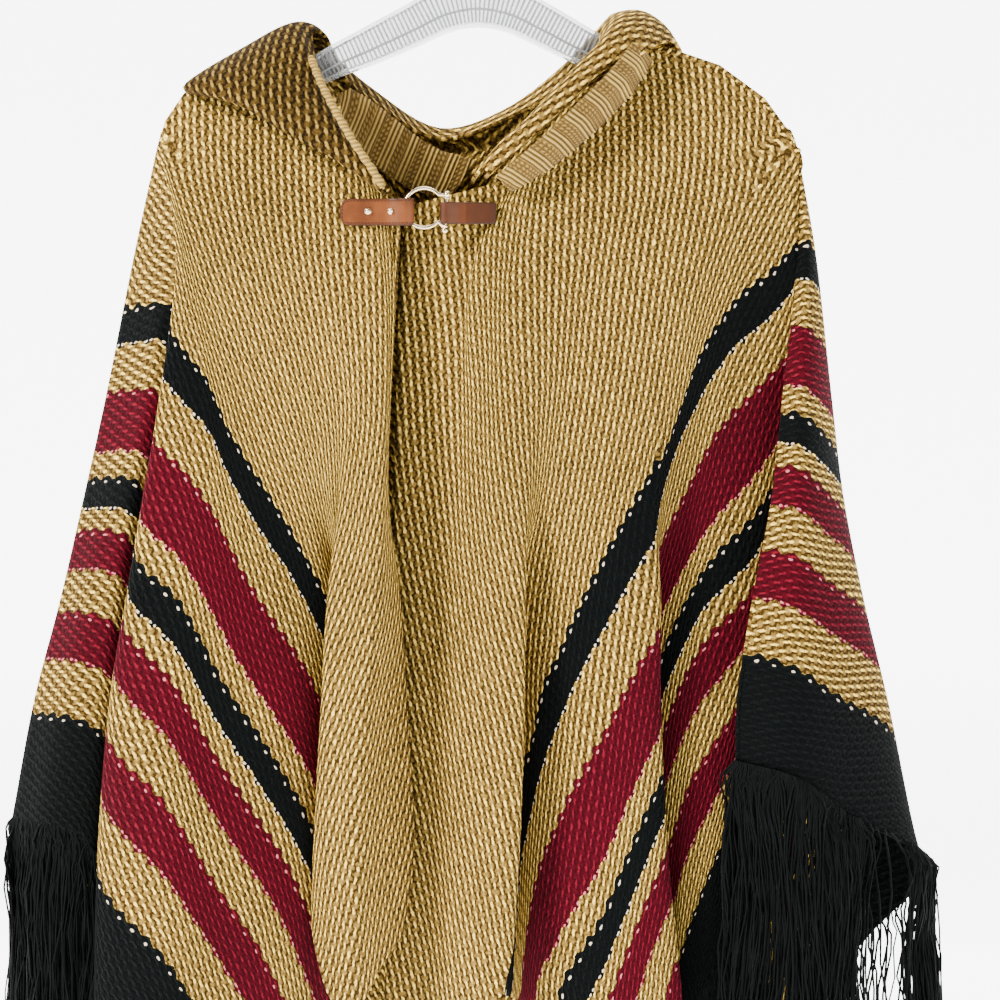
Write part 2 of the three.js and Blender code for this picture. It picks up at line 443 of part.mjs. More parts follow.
// The strip is cut into cells, and every other cell carries a lock. A lock that would pass through
// cloth or another lock leans out, or is thinner, until it is clear.
function fringe(name, grid, normals, from, to, seed) {
  const stops = edgeStops(grid, normals, from, to, LOCKS)
  const points = []
  const faces = []
  const quad = (a, b, c, d) => faces.push(a, b, c, a, c, d)
  for (const [p, down, n] of stops) {
    for (const [drop, back] of [[DROP, 0], [DROP, WALL], [DROP + STRIP_HEIGHT, 0], [DROP + STRIP_HEIGHT, WALL]]) {
      points.push(add(p, add(mul(down, drop), mul(n, -back))))
    }
  }
  const last = (stops.length - 1) * 4
  quad(0, 2, 3, 1)
  quad(last, last + 1, last + 3, last + 2)
  const next = random(seed)
  const made = []
  for (let c = 0; c < stops.length - 1; c++) {
    const a = c * 4
    const b = a + 4
    quad(a, b, b + 2, a + 2)
    quad(a + 1, a + 3, b + 3, b + 1)
    quad(a, a + 1, b + 1, b)
    if (!stops[c][3]) {
      quad(a + 2, b + 2, b + 3, a + 3)
      continue
    }
    const root = [points[a + 2], points[b + 2], points[b + 3], points[a + 3]]
    const middle = mul(root.reduce(add), 0.25)
    const span = sub(points[b + 2], points[a + 2])
    const flat = [span[0], span[1], 0]
    const half = Math.min(Math.max(len(flat) * 0.45, 1.2), 5)
    const side = unit(flat)
    const n = stops[c][2]
    const out = unit([n[0], n[1], 0])
    const length = FRINGE_LENGTH * (0.95 + 0.08 * next())
    const sway = [(next() - 0.5) * 5, (next() - 0.5) * 5, 0]
    const ring = (centre, w, d) => [[-w, d], [w, d], [w, -d], [-w, -d]].map(([x, y]) => add(centre, add(mul(side, x), mul(out, y))))
    let lock = null
    let least = Infinity
    for (let lean = 0; lean <= 60 && least > 0; lean += 5) {
      for (const share of [1, 0.6]) {
        const knee = add(middle, add(mul(out, lean), [sway[0] * 0.2, sway[1] * 0.2, -length * 0.3]))
        const tip = add(middle, add(mul(out, lean * 1.6), [sway[0], sway[1], -length]))
        const trial = [...root, ...ring(knee, half * share, 1.8), ...ring(tip, half * share * 0.6, 1.2)]
        const f = []
        for (let r = 0; r < 2; r++) for (let k = 0; k < 4; k++) {
          const [e, g] = [r * 4 + k, r * 4 + (k + 1) % 4]
          f.push(e, g, g + 4, e, g + 4, e + 4)
        }
        f.push(0, 2, 1, 0, 3, 2, 8, 9, 10, 8, 10, 11)
        const test = toManifold(solid('', trial, f))
        const met = [...walls, ...made].reduce((total, w) => total + w.intersect(test).volume(), 0)
        if (met < 0.001 || met < least) {
          least = met < 0.001 ? 0 : met
          lock = trial
        }
        if (least === 0) break
      }
    }
    const own = []
    for (let r = 0; r < 2; r++) for (let k = 0; k < 4; k++) {
      const [e, g] = [r * 4 + k, r * 4 + (k + 1) % 4]
      own.push(e, g, g + 4, e, g + 4, e + 4)
    }
    own.push(0, 2, 1, 0, 3, 2, 8, 9, 10, 8, 10, 11)
    made.push(toManifold(solid('', lock, own)))
    const first = points.length
    points.push(...lock.slice(4))
    const top = [a + 2, b + 2, b + 3, a + 3]
    for (let k = 0; k < 4; k++) {
      const m = (k + 1) % 4
      quad(top[k], top[m], first + m, first + k)
      quad(first + k, first + m, first + 4 + m, first + 4 + k)
    }
    quad(first + 4, first + 5, first + 6, first + 7)
  }
  const mesh = solid(name, points, faces)
  walls.push(toManifold(mesh))
  return mesh
}

for (const mesh of group.children.slice(0, 3)) walls.push(toManifold(mesh))
const ACROSS = 2
group.add(fringe('fringe_front_left', front_left, nfl, 0, 6 * ACROSS, 11))
group.add(fringe('fringe_back_left', back, nb, 0, 3 * ACROSS, 23))
group.add(fringe('fringe_front_right', front_right, nfr, 0, 5 * ACROSS, 37))
group.add(fringe('fringe_back_right', back, nb, 18 * ACROSS, 13 * ACROSS, 53))

// The closure. The ring stands in front of the cloth on this plane.
const RING_Y = -55.5
const RING_R = 13.7
const WIRE_R = 1.3
const ringCentre = place(424, 208, RING_Y)
const knobTop = place(447, 196, RING_Y)
const knobLow = place(445, 229, RING_Y)

function ringPath() {
  const path = [knobTop]
  for (let k = 0; k <= 20; k++) {
    const a = Math.PI * (0.24 + 1.52 * k / 20)
    path.push(add(ringCentre, [RING_R * Math.cos(a), 0, RING_R * Math.sin(a)]))
  }
  path.push(knobLow)
  return path
}
const wire = toManifold(bar(ringPath(), WIRE_R, 8))
const pinPath = [add(knobTop, [0, 0, 2.2]), add(knobLow, [0, 0, -2.2])]
const pin = toManifold(bar(pinPath, 1.15, 10))
const knobs = [knobTop, knobLow].map((p) => Manifold.sphere(2.5, 12).translate(p))
group.add(fromManifold('ring', Manifold.union([wire, pin, ...knobs])))

// A leather tab in the plane of the ring: two layers that lie on the cloth and fold round the bar
function tab(x0, x1, zTop, zLow, yBack, yFront, round) {
  const w = x1 - x0
  const h = zTop - zLow
  const parts = []
  const box = (a, b, c, d) => Manifold.cube([b - a, yBack - yFront, d - c]).translate([a, yFront, c])
  if (round > 0) {
    parts.push(box(x0 + round, x1, zLow, zTop))
    parts.push(box(x0, x0 + round, zLow + round, zTop - round))
    for (const z of [zLow + round, zTop - round]) {
      parts.push(Manifold.cylinder(yBack - yFront, round, round, 24).rotate([-90, 0, 0]).translate([x0 + round, yFront, z]))
    }
  } else parts.push(box(x0, x1, zLow, zTop))
  return w > 0 && h > 0 ? Manifold.union(parts) : null
}
const bigWire = toManifold(bar(ringPath(), WIRE_R + 0.4, 10))
const bigPin = toManifold(bar([add(knobTop, [0, 0, 6]), add(knobLow, [0, 0, -6])], 1.6, 12))

const L0 = place(340, 199, RING_Y)
const L1 = place(408, 225, RING_Y)
const leftTab = Manifold.union([
  tab(L0[0], L1[0], L0[2], L1[2], -52.3, -56.3, 6),
  Manifold.cylinder(L0[2] - L1[2], 4.4, 4.4, 24).scale([1.25, 1, 1]).translate([place(407, 208, RING_Y)[0], RING_Y, L1[2]]),
])
group.add(fromManifold('strap_left', leftTab.subtract(bigWire)))

const R0 = place(451, 202, RING_Y)
const R1 = place(496, 223, RING_Y)
const rightTab = Manifold.union([
  tab(R0[0], R1[0], R0[2], R1[2], -52.3, -56.3, 0),
  Manifold.cylinder(R0[2] - R1[2], 3.7, 3.7, 24).translate([(knobTop[0] + knobLow[0]) / 2, RING_Y, R1[2]]),
])
group.add(fromManifold('strap_right', rightTab.subtract(bigPin).subtract(bigWire)))

for (const [name, px] of [['stud_outer', 368], ['stud_inner', 391]]) {
  const p = place(px, 211, RING_Y)
  const foot = Manifold.cylinder(1.1, 2.6, 2.2, 12).rotate([90, 0, 0]).translate([p[0], -56.7, p[2]])
  const dome = Manifold.sphere(1.5, 8).translate([p[0], -58.1, p[2]])
  group.add(fromManifold(name, foot.add(dome)))
}

// The hanger: an arch with a flange above and below, and a hook. Each row is px, py of its middle, half depth,
// half width of the flanges.
const HANGER = [
  { at: [196, 150], deep: 4, wide: 1.8 },
  { at: [212, 134], deep: 5, wide: 2 },
  { at: [240, 117], deep: 6, wide: 2.2 },
  { at: [285, 94], deep: 8, wide: 2.6 },
  { at: [325, 67], deep: 10.5, wide: 3.8 },
  { at: [370, 46], deep: 13, wide: 5 },
  { at: [412, 26], deep: 14.5, wide: 6 },
  { at: [445, 10], deep: 15.5, wide: 6 },
  { at: [478, 4], deep: 16, wide: 6 },
  { at: [511, 10], deep: 15.5, wide: 6 },
  { at: [544, 26], deep: 14.5, wide: 6 },
  { at: [586, 48], deep: 13, wide: 4.6 },
  { at: [630, 68], deep: 10, wide: 3.4 },
  { at: [680, 92], deep: 8, wide: 2.4 },
  { at: [720, 114], deep: 6, wide: 2 },
  { at: [746, 134], deep: 5, wide: 1.8 },
  { at: [762, 152], deep: 4, wide: 1.6 },
]

function hangerArch() {
  const rows = curve(HANGER.map((row) => place(...row.at, 0)), 2)
  const sizes = curve(HANGER.map((row, i) => [row.deep, row.wide, i * 4]), 2)
  const points = []
  const faces = []
  const web = 1.2
  rows.forEach((p, i) => {
    const along = unit(sub(rows[Math.min(i + 1, rows.length - 1)], rows[Math.max(i - 1, 0)]))
    const up = [-along[2], 0, along[0]]
    const [deep, wide] = sizes[i]
    const f = Math.min(2.6, deep * 0.4)
    const section = [
      [-wide, -deep], [wide, -deep], [wide, -deep + f], [web, -deep + f + 1], [web, deep - f - 1], [wide, deep - f],
      [wide, deep], [-wide, deep], [-wide, deep - f], [-web, deep - f - 1], [-web, -deep + f + 1], [-wide, -deep + f],
    ]
    for (const [a, b] of section) points.push(add(add(p, mul(up, b)), [0, a, 0]))
  })
  const n = 12
  for (let i = 0; i < rows.length - 1; i++) {
    for (let k = 0; k < n; k++) {
      const a = i * n + k
      const b = i * n + (k + 1) % n
      faces.push(a, b, b + n, a, b + n, a + n)
    }
  }
  const cap = [[0, 1, 2], [0, 2, 11], [11, 2, 3], [11, 3, 10], [10, 3, 4], [10, 4, 9], [9, 4, 5], [9, 5, 8], [8, 5, 6], [8, 6, 7]]
  const e = (rows.length - 1) * n
  for (const [a, b, c] of cap) {
    faces.push(a, c, b)
    faces.push(e + a, e + b, e + c)
  }
  return solid('', points, faces)
}

const hookPath = [[0, 0, -86], [0, 0, -62], [3, 0, -50], [12, 0, -38], [18, 0, -27], [19, 0, -16]]
for (let k = 1; k <= 10; k++) {
  const a = Math.PI * k / 10 * 1.12
  hookPath.push([19 * Math.cos(a), 0, -16 + 19 * Math.sin(a)])
}
const hook = toManifold(bar(hookPath, 3, 10))
const arch = toManifold(hangerArch())
const collar = Manifold.cylinder(14, 6, 5, 16).translate([0, 0, -84])
group.add(fromManifold('hanger', Manifold.union([arch, hook, collar])))

export default group
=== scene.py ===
# A hooded knit poncho on a clear hanger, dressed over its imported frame. Metres, +Z up, the front faces -Y.
import math
import random

import bmesh
import bpy
import numpy as np
from mathutils import Matrix, Vector
from mathutils.bvhtree import BVHTree


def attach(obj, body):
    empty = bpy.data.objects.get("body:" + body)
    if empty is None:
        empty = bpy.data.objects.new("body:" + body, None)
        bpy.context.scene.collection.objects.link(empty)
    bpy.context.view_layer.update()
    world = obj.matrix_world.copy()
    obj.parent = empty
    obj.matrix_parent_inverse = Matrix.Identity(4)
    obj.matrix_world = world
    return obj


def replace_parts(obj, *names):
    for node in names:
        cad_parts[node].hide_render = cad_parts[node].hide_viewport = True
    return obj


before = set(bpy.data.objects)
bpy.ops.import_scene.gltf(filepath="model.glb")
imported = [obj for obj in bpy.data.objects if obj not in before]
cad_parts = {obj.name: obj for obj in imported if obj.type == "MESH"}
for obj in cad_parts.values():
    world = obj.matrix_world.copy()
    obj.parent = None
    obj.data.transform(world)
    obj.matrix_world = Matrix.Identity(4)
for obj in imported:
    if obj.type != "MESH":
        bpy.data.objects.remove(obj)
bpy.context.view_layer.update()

# The studio: a camera in front of the poncho at the height of its middle, a pale floor that runs up into
# a pale wall 5 metres behind, and three soft panels of light. The key stands to the front and left. SCALE
# is the size of a pixel of the view at the hanger, in metres.
VIEW_X, VIEW_Z, VIEW_DISTANCE, SCALE = 0.0156, -0.445, 2.2, 0.00071
PIXELS, SENSOR = 1000, 36
MIDDLE = PIXELS / 2

camera = bpy.data.objects.new("camera", bpy.data.cameras.new("camera"))
bpy.context.collection.objects.link(camera)
camera.location = (VIEW_X, -VIEW_DISTANCE, VIEW_Z)
camera.rotation_euler = (math.radians(90), 0, 0)
camera.data.sensor_fit = "HORIZONTAL"
camera.data.sensor_width = SENSOR
camera.data.lens = SENSOR * VIEW_DISTANCE / (PIXELS * SCALE)
bpy.context.scene.camera = camera


def soft_light(name, place, aim, size, power, colour):
    data = bpy.data.lights.new(name, "AREA")
    data.shape = "RECTANGLE"
    data.size, data.size_y = size
    data.energy = power
    data.color = colour
    light = bpy.data.objects.new(name, data)
    light.location = place
    light.rotation_euler = (Vector(aim) - Vector(place)).to_track_quat("-Z", "Y").to_euler()
    bpy.context.collection.objects.link(light)


soft_light("key", (-2.0, -1.7, 1.2), (0, 0, -0.45), (0.7, 0.7), 236, (1, 0.97, 0.90))
soft_light("fill", (1.7, -2.2, -0.1), (0, 0, -0.5), (1.6, 1.6), 34, (1, 1, 1))
soft_light("top", (0.1, 0.1, 1.5), (0, 0, -0.3), (1.6, 1.0), 34, (1, 1, 1))

world = bpy.data.worlds.new("studio")
bpy.context.scene.world = world
world.use_nodes = True
world.node_tree.nodes["Background"].inputs["Color"].default_value = (1, 1, 1, 1)
world.node_tree.nodes["Background"].inputs["Strength"].default_value = 0.36

FLOOR_Z, FLOOR_FRONT, FLOOR_BACK, FLOOR_SIDE, BEND, WALL_HIGH = -1.42, -3.2, 4.4, 12, 0.6, 10
mesh = bmesh.new()
bmesh.ops.create_grid(mesh, x_segments=2, y_segments=40, size=1)
for vert in mesh.verts:
    t = (vert.co.y + 1) / 2
    if t < 0.5:
        y, z = FLOOR_FRONT + t * 2 * (FLOOR_BACK - FLOOR_FRONT), FLOOR_Z
    elif t < 0.7:
        turn = (t - 0.5) / 0.2 * math.pi / 2
        y, z = FLOOR_BACK + BEND * math.sin(turn), FLOOR_Z + BEND * (1 - math.cos(turn))
    else:
        y, z = FLOOR_BACK + BEND, FLOOR_Z + BEND + (t - 0.7) / 0.3 * WALL_HIGH
    vert.co = (vert.co.x * FLOOR_SIDE, y, z)
floor_data = bpy.data.meshes.new("floor")
mesh.to_mesh(floor_data)
mesh.free()
floor = bpy.data.objects.new("floor", floor_data)
bpy.context.collection.objects.link(floor)
floor_data.shade_smooth()
paper = bpy.data.materials.new("pale_paper")
paper.use_nodes = True
paper_shader = paper.node_tree.nodes["Principled BSDF"]
paper_shader.inputs["Base Color"].default_value = (0.93, 0.93, 0.93, 1)
paper_shader.inputs["Roughness"].default_value = 0.9
paper_shader.inputs["Emission Color"].default_value = (1, 1, 1, 1)
paper_shader.inputs["Emission Strength"].default_value = 4.5
floor_data.materials.append(paper)

# The body: three panels of chunky wool-like yarn, knitted sideways from cuff edge to cuff edge, so that the
# stripes run along the cuffs. Each panel is given by the lines in which it hangs. A line has its top, its
# places at seven heights of the view in pixels, its depths in millimetres, its end and its way in the cloth.
# That way is fan, with the line's angle round the shoulder's tip at its top and its end, or far, the same
# round the right tip, or long, with u at its top and its end and v at its top.
LEVELS = [250, 400, 500, 600, 700, 850, 1000]
HEM = 0.62
TIP_LEFT, TIP_RIGHT = 0.497, 0.444
FAN_FROM, FAN_OVER = 0.24, 0.38
FRONT_LEFT = [
    ("arm", (156, 152, 0), [135, 105, 83, 60, 34],
     [-2, -6, -9, -11, -12], (12, 818, -12), ("fan", 0, 0)),
    ("outer", (157, 149, 0), [153, 133, 112, 90, 70],
     [-16, -28, -34, -38, -41], (49, 824, -42), ("fan", 6, 6)),
    ("outer_edge", (158, 146, 0), [167, 150, 131, 115, 102],
     [-26, -38, -43, -46, -47], (88, 842, -47), ("fan", 12, 12)),
    ("under", (158, 143, 0), [178, 171, 154, 138, 126, 114],
     [-33, -36, -34, -31, -30, -30], (112, 901, -30), ("fan", 25, 25)),
    ("crease", (159, 141, 0), [176, 159, 143, 127, 111, 99],
     [-38, -56, -62, -64, -66, -66], (95, 1022, -66), ("fan", 37.5, 38.5)),
    ("facet_1", (159, 139, 0), [181, 182, 184, 180, 171, 166, 166],
     [-41, -62, -70, -76, -82, -88, -88], (160, 1120, -86), ("fan", 45, 45)),
    ("corner", (160, 137, 0), [185, 208, 215, 216, 214, 220, 232],
     [-42, -61, -69, -74, -77, -78, -76], (236, 1249, -74), ("fan", 51.3, 51.3)),
    ("facet_2", (160, 135, 0), [191, 225, 248, 268, 286, 305, 313],
     [-43, -58, -63, -63, -60, -54, -50], (316, 1128, -48), ("fan", 60, 60)),
    ("facet_3", (161, 133, 0), [201, 246, 274, 302, 321, 336, 340],
     [-44, -55, -58, -52, -42, -28, -24], (341, 1075, -22), ("fan", 66, 64)),
    ("pleat_1", (162, 131, 0), [219, 272, 303, 330, 346, 352, 350],
     [-45, -55, -57, -42, -14, 0, 2], (349, 1035, 2), ("fan", 74, 70)),
    ("pleat_2", (165, 121, 0), [243, 299, 322, 340, 354, 356, 350],
     [-46, -56, -56, -30, 10, 16, 16], (349, 1010, 16), ("fan", 84, 80)),
    ("pleat_3", (184, 93, 0), [270, 322, 332, 339, 342, 338, 334],
     [-47, -58, -60, -44, -20, -12, -12], (330, 960, -12), ("long", 520, 470, 0)),
    ("ridge_edge", (222, 84, 0), [300, 342, 339, 327, 321, 313],
     [-49, -62, -66, -66, -62, -58], (311, 926, -58), ("long", 548, 500, 0)),
    ("ridge", (258, 70, 0), [335, 362, 357, 350, 343, 334],
     [-53, -68, -73, -78, -79, -78], (332, 1002, -76), ("long", 582, 520, 0)),
    ("crest", (300, 60, -4), [372, 382, 379, 376, 364, 356],
     [-57, -70, -77, -84, -86, -86], (353, 1012, -84), ("long", 630, 540, 0)),
    ("turn", (358, 140, -32), [391, 389, 386, 391, 387, 386],
     [-55, -64, -68, -66, -62, -60], (383, 964, -58), ("long", 650, 562, 60)),
    ("opening", (398, 207, -48), [399, 391, 389, 401, 407, 414],
     [-49, -54, -56, -46, -38, -36], (404, 933, -36), ("long", 672, 585, 90)),
]
FRONT_RIGHT = [
    ("arm", (799, 160, 0), [798, 782, 771, 752, 737],
     [-14, -40, -54, -62, -66], (735, 763, -66), ("fan", 0, 0)),
    ("under", (799, 157, -1), [794, 796, 786, 773, 759],
     [-17, -20, -26, -30, -32], (759, 803, -33), ("fan", 20, 20)),
    ("recess_1", (798, 154, -1), [788, 787, 781, 776, 769, 761],
     [-18, -16, -19, -21, -21, -20], (758, 877, -20), ("fan", 32, 32)),
    ("recess_2", (798, 151, 0), [779, 757, 757, 752, 738, 718, 700],
     [-19, -21, -26, -29, -32, -34, -36], (700, 1004, -36), ("fan", 44, 44)),
    ("recess_3", (797, 148, 0), [768, 733, 722, 706, 697, 686, 680],
     [-20, -27, -32, -33, -34, -34, -34], (678, 1126, -34), ("fan", 51, 51)),
    ("corner", (797, 146, 0), [759, 722, 706, 690, 680, 672, 670],
     [-22, -31, -34, -33, -31, -27, -26], (668, 1207, -26), ("fan", 54.4, 54.4)),
    ("recess_4", (796, 144, 0), [749, 706, 688, 667, 656, 652, 655],
     [-24, -34, -35, -28, -20, -15, -14], (655, 1137, -14), ("fan", 60, 60)),
    ("fold_1", (796, 142, 0), [741, 696, 674, 652, 644, 645, 654],
     [-27, -38, -39, -26, -14, -9, -9], (655, 1105, -9), ("fan", 64, 64)),
    ("fold_2", (795, 141, 0), [733, 688, 666, 653, 648, 652, 664],
     [-28, -42, -46, -38, -30, -27, -29], (666, 1105, -30), ("fan", 68, 63)),
    ("fold_edge", (795, 139, 0), [724, 679, 658, 661, 661, 668, 682],
     [-31, -46, -54, -56, -54, -52, -54], (684, 1115, -54), ("fan", 75, 60.5)),
    ("facet_1", (794, 137, 0), [711, 665, 642, 626, 616, 609, 605],
     [-34, -50, -58, -62, -62, -61, -59], (603, 1062, -58), ("fan", 76.7, 68.7)),
    ("facet_2", (793, 134, 0), [690, 640, 612, 589, 573, 562, 558],
     [-38, -54, -59, -59, -55, -52, -51], (556, 1025, -50), ("fan", 82, 72.4)),
    ("facet_3", (791, 130, 0), [655, 605, 578, 553, 538, 531, 529],
     [-42, -57, -58, -51, -42, -36, -35], (527, 1004, -34), ("fan", 90, 75.5)),
    ("pleat_1", (786, 127, 0), [620, 572, 547, 520, 507, 502],
     [-45, -58, -57, -38, -18, -12], (498, 990, -12), ("fan", 95, 88)),
    ("pleat_2", (765, 98, 0), [592, 552, 535, 514, 504, 501],
     [-47, -60, -60, -50, -42, -38], (499, 962, -38), ("long", 500, 466, 0)),
    ("ridge_edge", (720, 65, 0), [562, 534, 528, 526, 525, 520],
     [-49, -62, -66, -70, -72, -72], (514, 944, -70), ("long", 533, 480, 0)),
    ("ridge", (664, 46, 0), [526, 508, 503, 501, 501, 497],
     [-52, -63, -68, -73, -75, -75], (496, 1002, -73), ("long", 570, 500, 0)),
    ("crest", (560, 128, -36), [480, 478, 473, 468, 462, 458],
     [-55, -58, -58, -58, -56, -54], (458, 1016, -52), ("long", 640, 530, 70)),
    ("valley", (488, 185, -48), [464, 456, 447, 437, 430, 428],
     [-42, -41, -39, -36, -32, -30], (428, 1017, -28), ("long", 675, 560, 95)),
    ("opening", (410, 205, -34), [402, 396, 392, 388, 386, 385],
     [-30, -28, -23, -16, -12, -10], (385, 1002, -8), ("long", 700, 590, 110)),
]
BACK = [
    ("arm_left", (156, 152, 0), [135, 105, 83, 60, 34],
     [-2, -6, -9, -11, -12], (12, 818, -12), ("fan", 0, 0)),
    ("left_1", (157, 148, 0), [148, 121, 100, 79, 58, 36],
     [15, 20, 24, 27, 29, 30], (35, 872, 30), ("fan", 20, 20)),
    ("left_2", (158, 144, 0), [162, 143, 125, 108, 95, 86, 84],
     [31, 46, 54, 60, 64, 66, 66], (84, 1040, 66), ("fan", 40, 40)),
    ("corner_left", (160, 138, 0), [178, 170, 160, 150, 142, 137, 136],
     [37, 56, 68, 77, 83, 87, 88], (134, 1247, 88), ("fan", 51.3, 51.3)),
    ("left_3", (162, 131, 0), [200, 206, 206, 206, 205, 205, 206],
     [42, 60, 67, 71, 71, 67, 63], (207, 1095, 62), ("fan", 65, 65)),
    ("left_4", (188, 104, 0), [232, 246, 252, 258, 262, 265, 268],
     [45, 64, 76, 85, 91, 93, 92], (270, 1040, 92), ("long", 520, 500, 0)),
    ("left_5", (258, 70, 0), [274, 295, 303, 311, 317, 322, 326],
     [47, 64, 71, 75, 75, 71, 67], (327, 1020, 66), ("long", 582, 540, 0)),
    ("neck_left", (300, 60, 4), [337, 352, 360, 368, 374, 380, 384],
     [50, 68, 80, 90, 96, 98, 98], (385, 1012, 98), ("long", 630, 600, 20)),
    ("centre", (440, 143, 45), [435, 432, 430, 430, 430, 430, 430],
     [54, 68, 74, 77, 77, 73, 69], (430, 1006, 68), ("long", 713, 700, 60)),
    ("neck_right", (590, 86, 10), [530, 506, 498, 492, 487, 483, 480],
     [52, 68, 80, 90, 96, 98, 98], (479, 1012, 98), ("long", 640, 600, 20)),
    ("right_5", (664, 46, 0), [610, 585, 574, 565, 558, 551, 546],
     [48, 64, 71, 75, 75, 71, 67], (545, 1020, 66), ("long", 570, 540, 0)),
    ("right_4", (720, 65, 0), [684, 656, 644, 635, 628, 623, 620],
     [45, 62, 74, 83, 89, 91, 90], (619, 1045, 90), ("long", 533, 500, 0)),
    ("right_3", (765, 98, 0), [742, 718, 708, 702, 697, 694, 692],
     [40, 55, 63, 67, 67, 63, 59], (691, 1095, 58), ("far", 95, 88)),
    ("corner_right", (795, 140, 0), [778, 768, 766, 768, 774, 785, 790],
     [31, 45, 56, 64, 70, 73, 73], (790, 1205, 73), ("far", 54.4, 54.4)),
    ("right_2", (797, 146, 0), [800, 808, 814, 822, 832, 846],
     [12, 20, 25, 29, 32, 35], (848, 965, 35), ("far", 42, 42)),
    ("right_side", (798, 151, 1), [815, 832, 844, 864, 888, 920],
     [-3, -10, -13, -13, -12, -11], (928, 866, -11), ("far", 33, 33)),
    ("outer_2", (798, 154, 1), [812, 819, 824, 829, 838],
     [-15, -40, -52, -59, -62], (843, 814, -62), ("far", 22, 22)),
    ("outer_1", (799, 157, 1), [806, 801, 797, 792, 790],
     [-19, -50, -66, -74, -77], (794, 779, -77), ("far", 12, 12)),
    ("arm_right", (799, 160, 0), [798, 782, 771, 752, 737],
     [-14, -40, -54, -62, -66], (735, 763, -66), ("far", 0, 0)),
]


def place(px, py, y):
    """A point of the view, in pixels, at the depth y in millimetres."""
    s = SCALE * (1 + y / 1000 / VIEW_DISTANCE)
    return np.array([VIEW_X + (px - MIDDLE) * s, y / 1000, VIEW_Z - (py - MIDDLE) * s])


def smooth_line(points, steps):
    """An even curve through the points, whose first three columns set its pace."""
    points = np.asarray(points, float)
    ends = [2 * points[0] - points[1], 2 * points[-1] - points[-2]]
    rows = np.concatenate([ends[:1], points, ends[1:]])
    made = []

    def pace(p, q):
        return np.maximum(np.sqrt(np.linalg.norm((q - p)[..., :3], axis=-1, keepdims=True)), 3e-6)

    for a, b, c, d in zip(rows, rows[1:], rows[2:], rows[3:]):
        t1 = pace(a, b)
        t2 = t1 + pace(b, c)
        t3 = t2 + pace(c, d)
        for k in range(steps):
            t = t1 + (t2 - t1) * k / steps
            p, q = a + (b - a) * t / t1, b + (c - b) * (t - t1) / (t2 - t1)
            r = c + (d - c) * (t - t2) / (t3 - t2)
            u, v = p + (q - p) * t / t2, q + (r - q) * (t - t1) / (t3 - t1)
            made.append(u + (v - u) * (t - t1) / (t2 - t1))
    made.append(points[-1])
    return np.array(made)


def length_along(path):
    return np.concatenate([[0], np.cumsum(np.linalg.norm(np.diff(path, axis=0), axis=1))])


def on_path(path, at, where):
    """The point, or the points, of a path at a distance along it."""
    return np.stack([np.interp(where, at, column) for column in path.T], axis=-1)


def hanging_line(row, tip, side, down):
    """One line of the cloth: its points and their two distances in the cloth, u from the cuff and v."""
    _, top, xs, ys, end, (way, first, last, *more) = row
    points = [place(*top)] + [place(x, h, y) for x, h, y in zip(xs, LEVELS, ys)] + [place(*end)]
    fine = smooth_line(points, 12)
    at = length_along(fine)
    share = np.linspace(0, 1, down + 1)
    line = on_path(fine, at, share * at[-1])
    if way == "long":
        u = (first + (last - first) * share) / 1000
        v = more[0] / 1000 + share * at[-1]
    else:
        low = math.radians(last)
        reach = min(tip / max(math.cos(low), 1e-6), HEM / max(math.sin(low), 1e-6))
        r = share * reach
        turn = np.radians(first + (last - first) * np.clip((r - FAN_FROM) / FAN_OVER, 0, 1))
        u, v = tip - r * np.cos(turn), r * np.sin(turn)
    return np.column_stack([line, u, side * v])


def draped(rows, tip, side, across, down):
    """The cloth between its hanging lines, as an array of lines of points."""
    lines = np.array([hanging_line(row, tip(row) if callable(tip) else tip, side, down) for row in rows])
    cloth = smooth_line(lines, across)
    tops = lines[:, 0]
    for i in range(len(cloth)):
        k = min(i // across, len(tops) - 2)
        cloth[i, 0] = tops[k] + (tops[k + 1] - tops[k]) * (i / across - k)
    return cloth


def finished(name, mesh, material, smooth=True):
    """The bmesh as a piece that rides with the part."""
    data = bpy.data.meshes.new(name)
    mesh.to_mesh(data)
    mesh.free()
    if smooth:
        data.shade_smooth()
    piece = bpy.data.objects.new(name, data)
    bpy.context.collection.objects.link(piece)
    data.materials.append(material)
    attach(piece, "root")
    return piece


def cloth_piece(name, cloth, outward, thick, material, way_of=None):
    """A sheet with the cloth's shape: a grid whose points are laid on it, given its thickness inwards.
    way_of gives another cloth's u and v for the squares from a line on."""
    across, down = cloth.shape[0] - 1, cloth.shape[1] - 1
    mesh = bmesh.new()
    bmesh.ops.create_grid(mesh, x_segments=across, y_segments=down, size=1)
    uv = mesh.loops.layers.uv.new("cloth")
    spot = {}
    for vert in mesh.verts:
        spot[vert] = (round((vert.co.x + 1) / 2 * across), round((vert.co.y + 1) / 2 * down))
    for face in mesh.faces:
        ways = way_of(min(spot[loop.vert][0] for loop in face.loops)) if way_of else cloth
        for loop in face.loops:
            loop[uv].uv = ways[spot[loop.vert]][3:5]
    for vert, (i, j) in spot.items():
        vert.co = cloth[i, j, :3]
    mesh.normal_update()
    if sum(face.normal.dot(Vector(outward)) * face.calc_area() for face in mesh.faces) < 0:
        bmesh.ops.reverse_faces(mesh, faces=mesh.faces)
    piece = finished(name, mesh, material)
    wall = piece.modifiers.new("wall", "SOLIDIFY")
    wall.thickness = thick
    wall.offset = -1
    wall.use_even_offset = False
    return piece


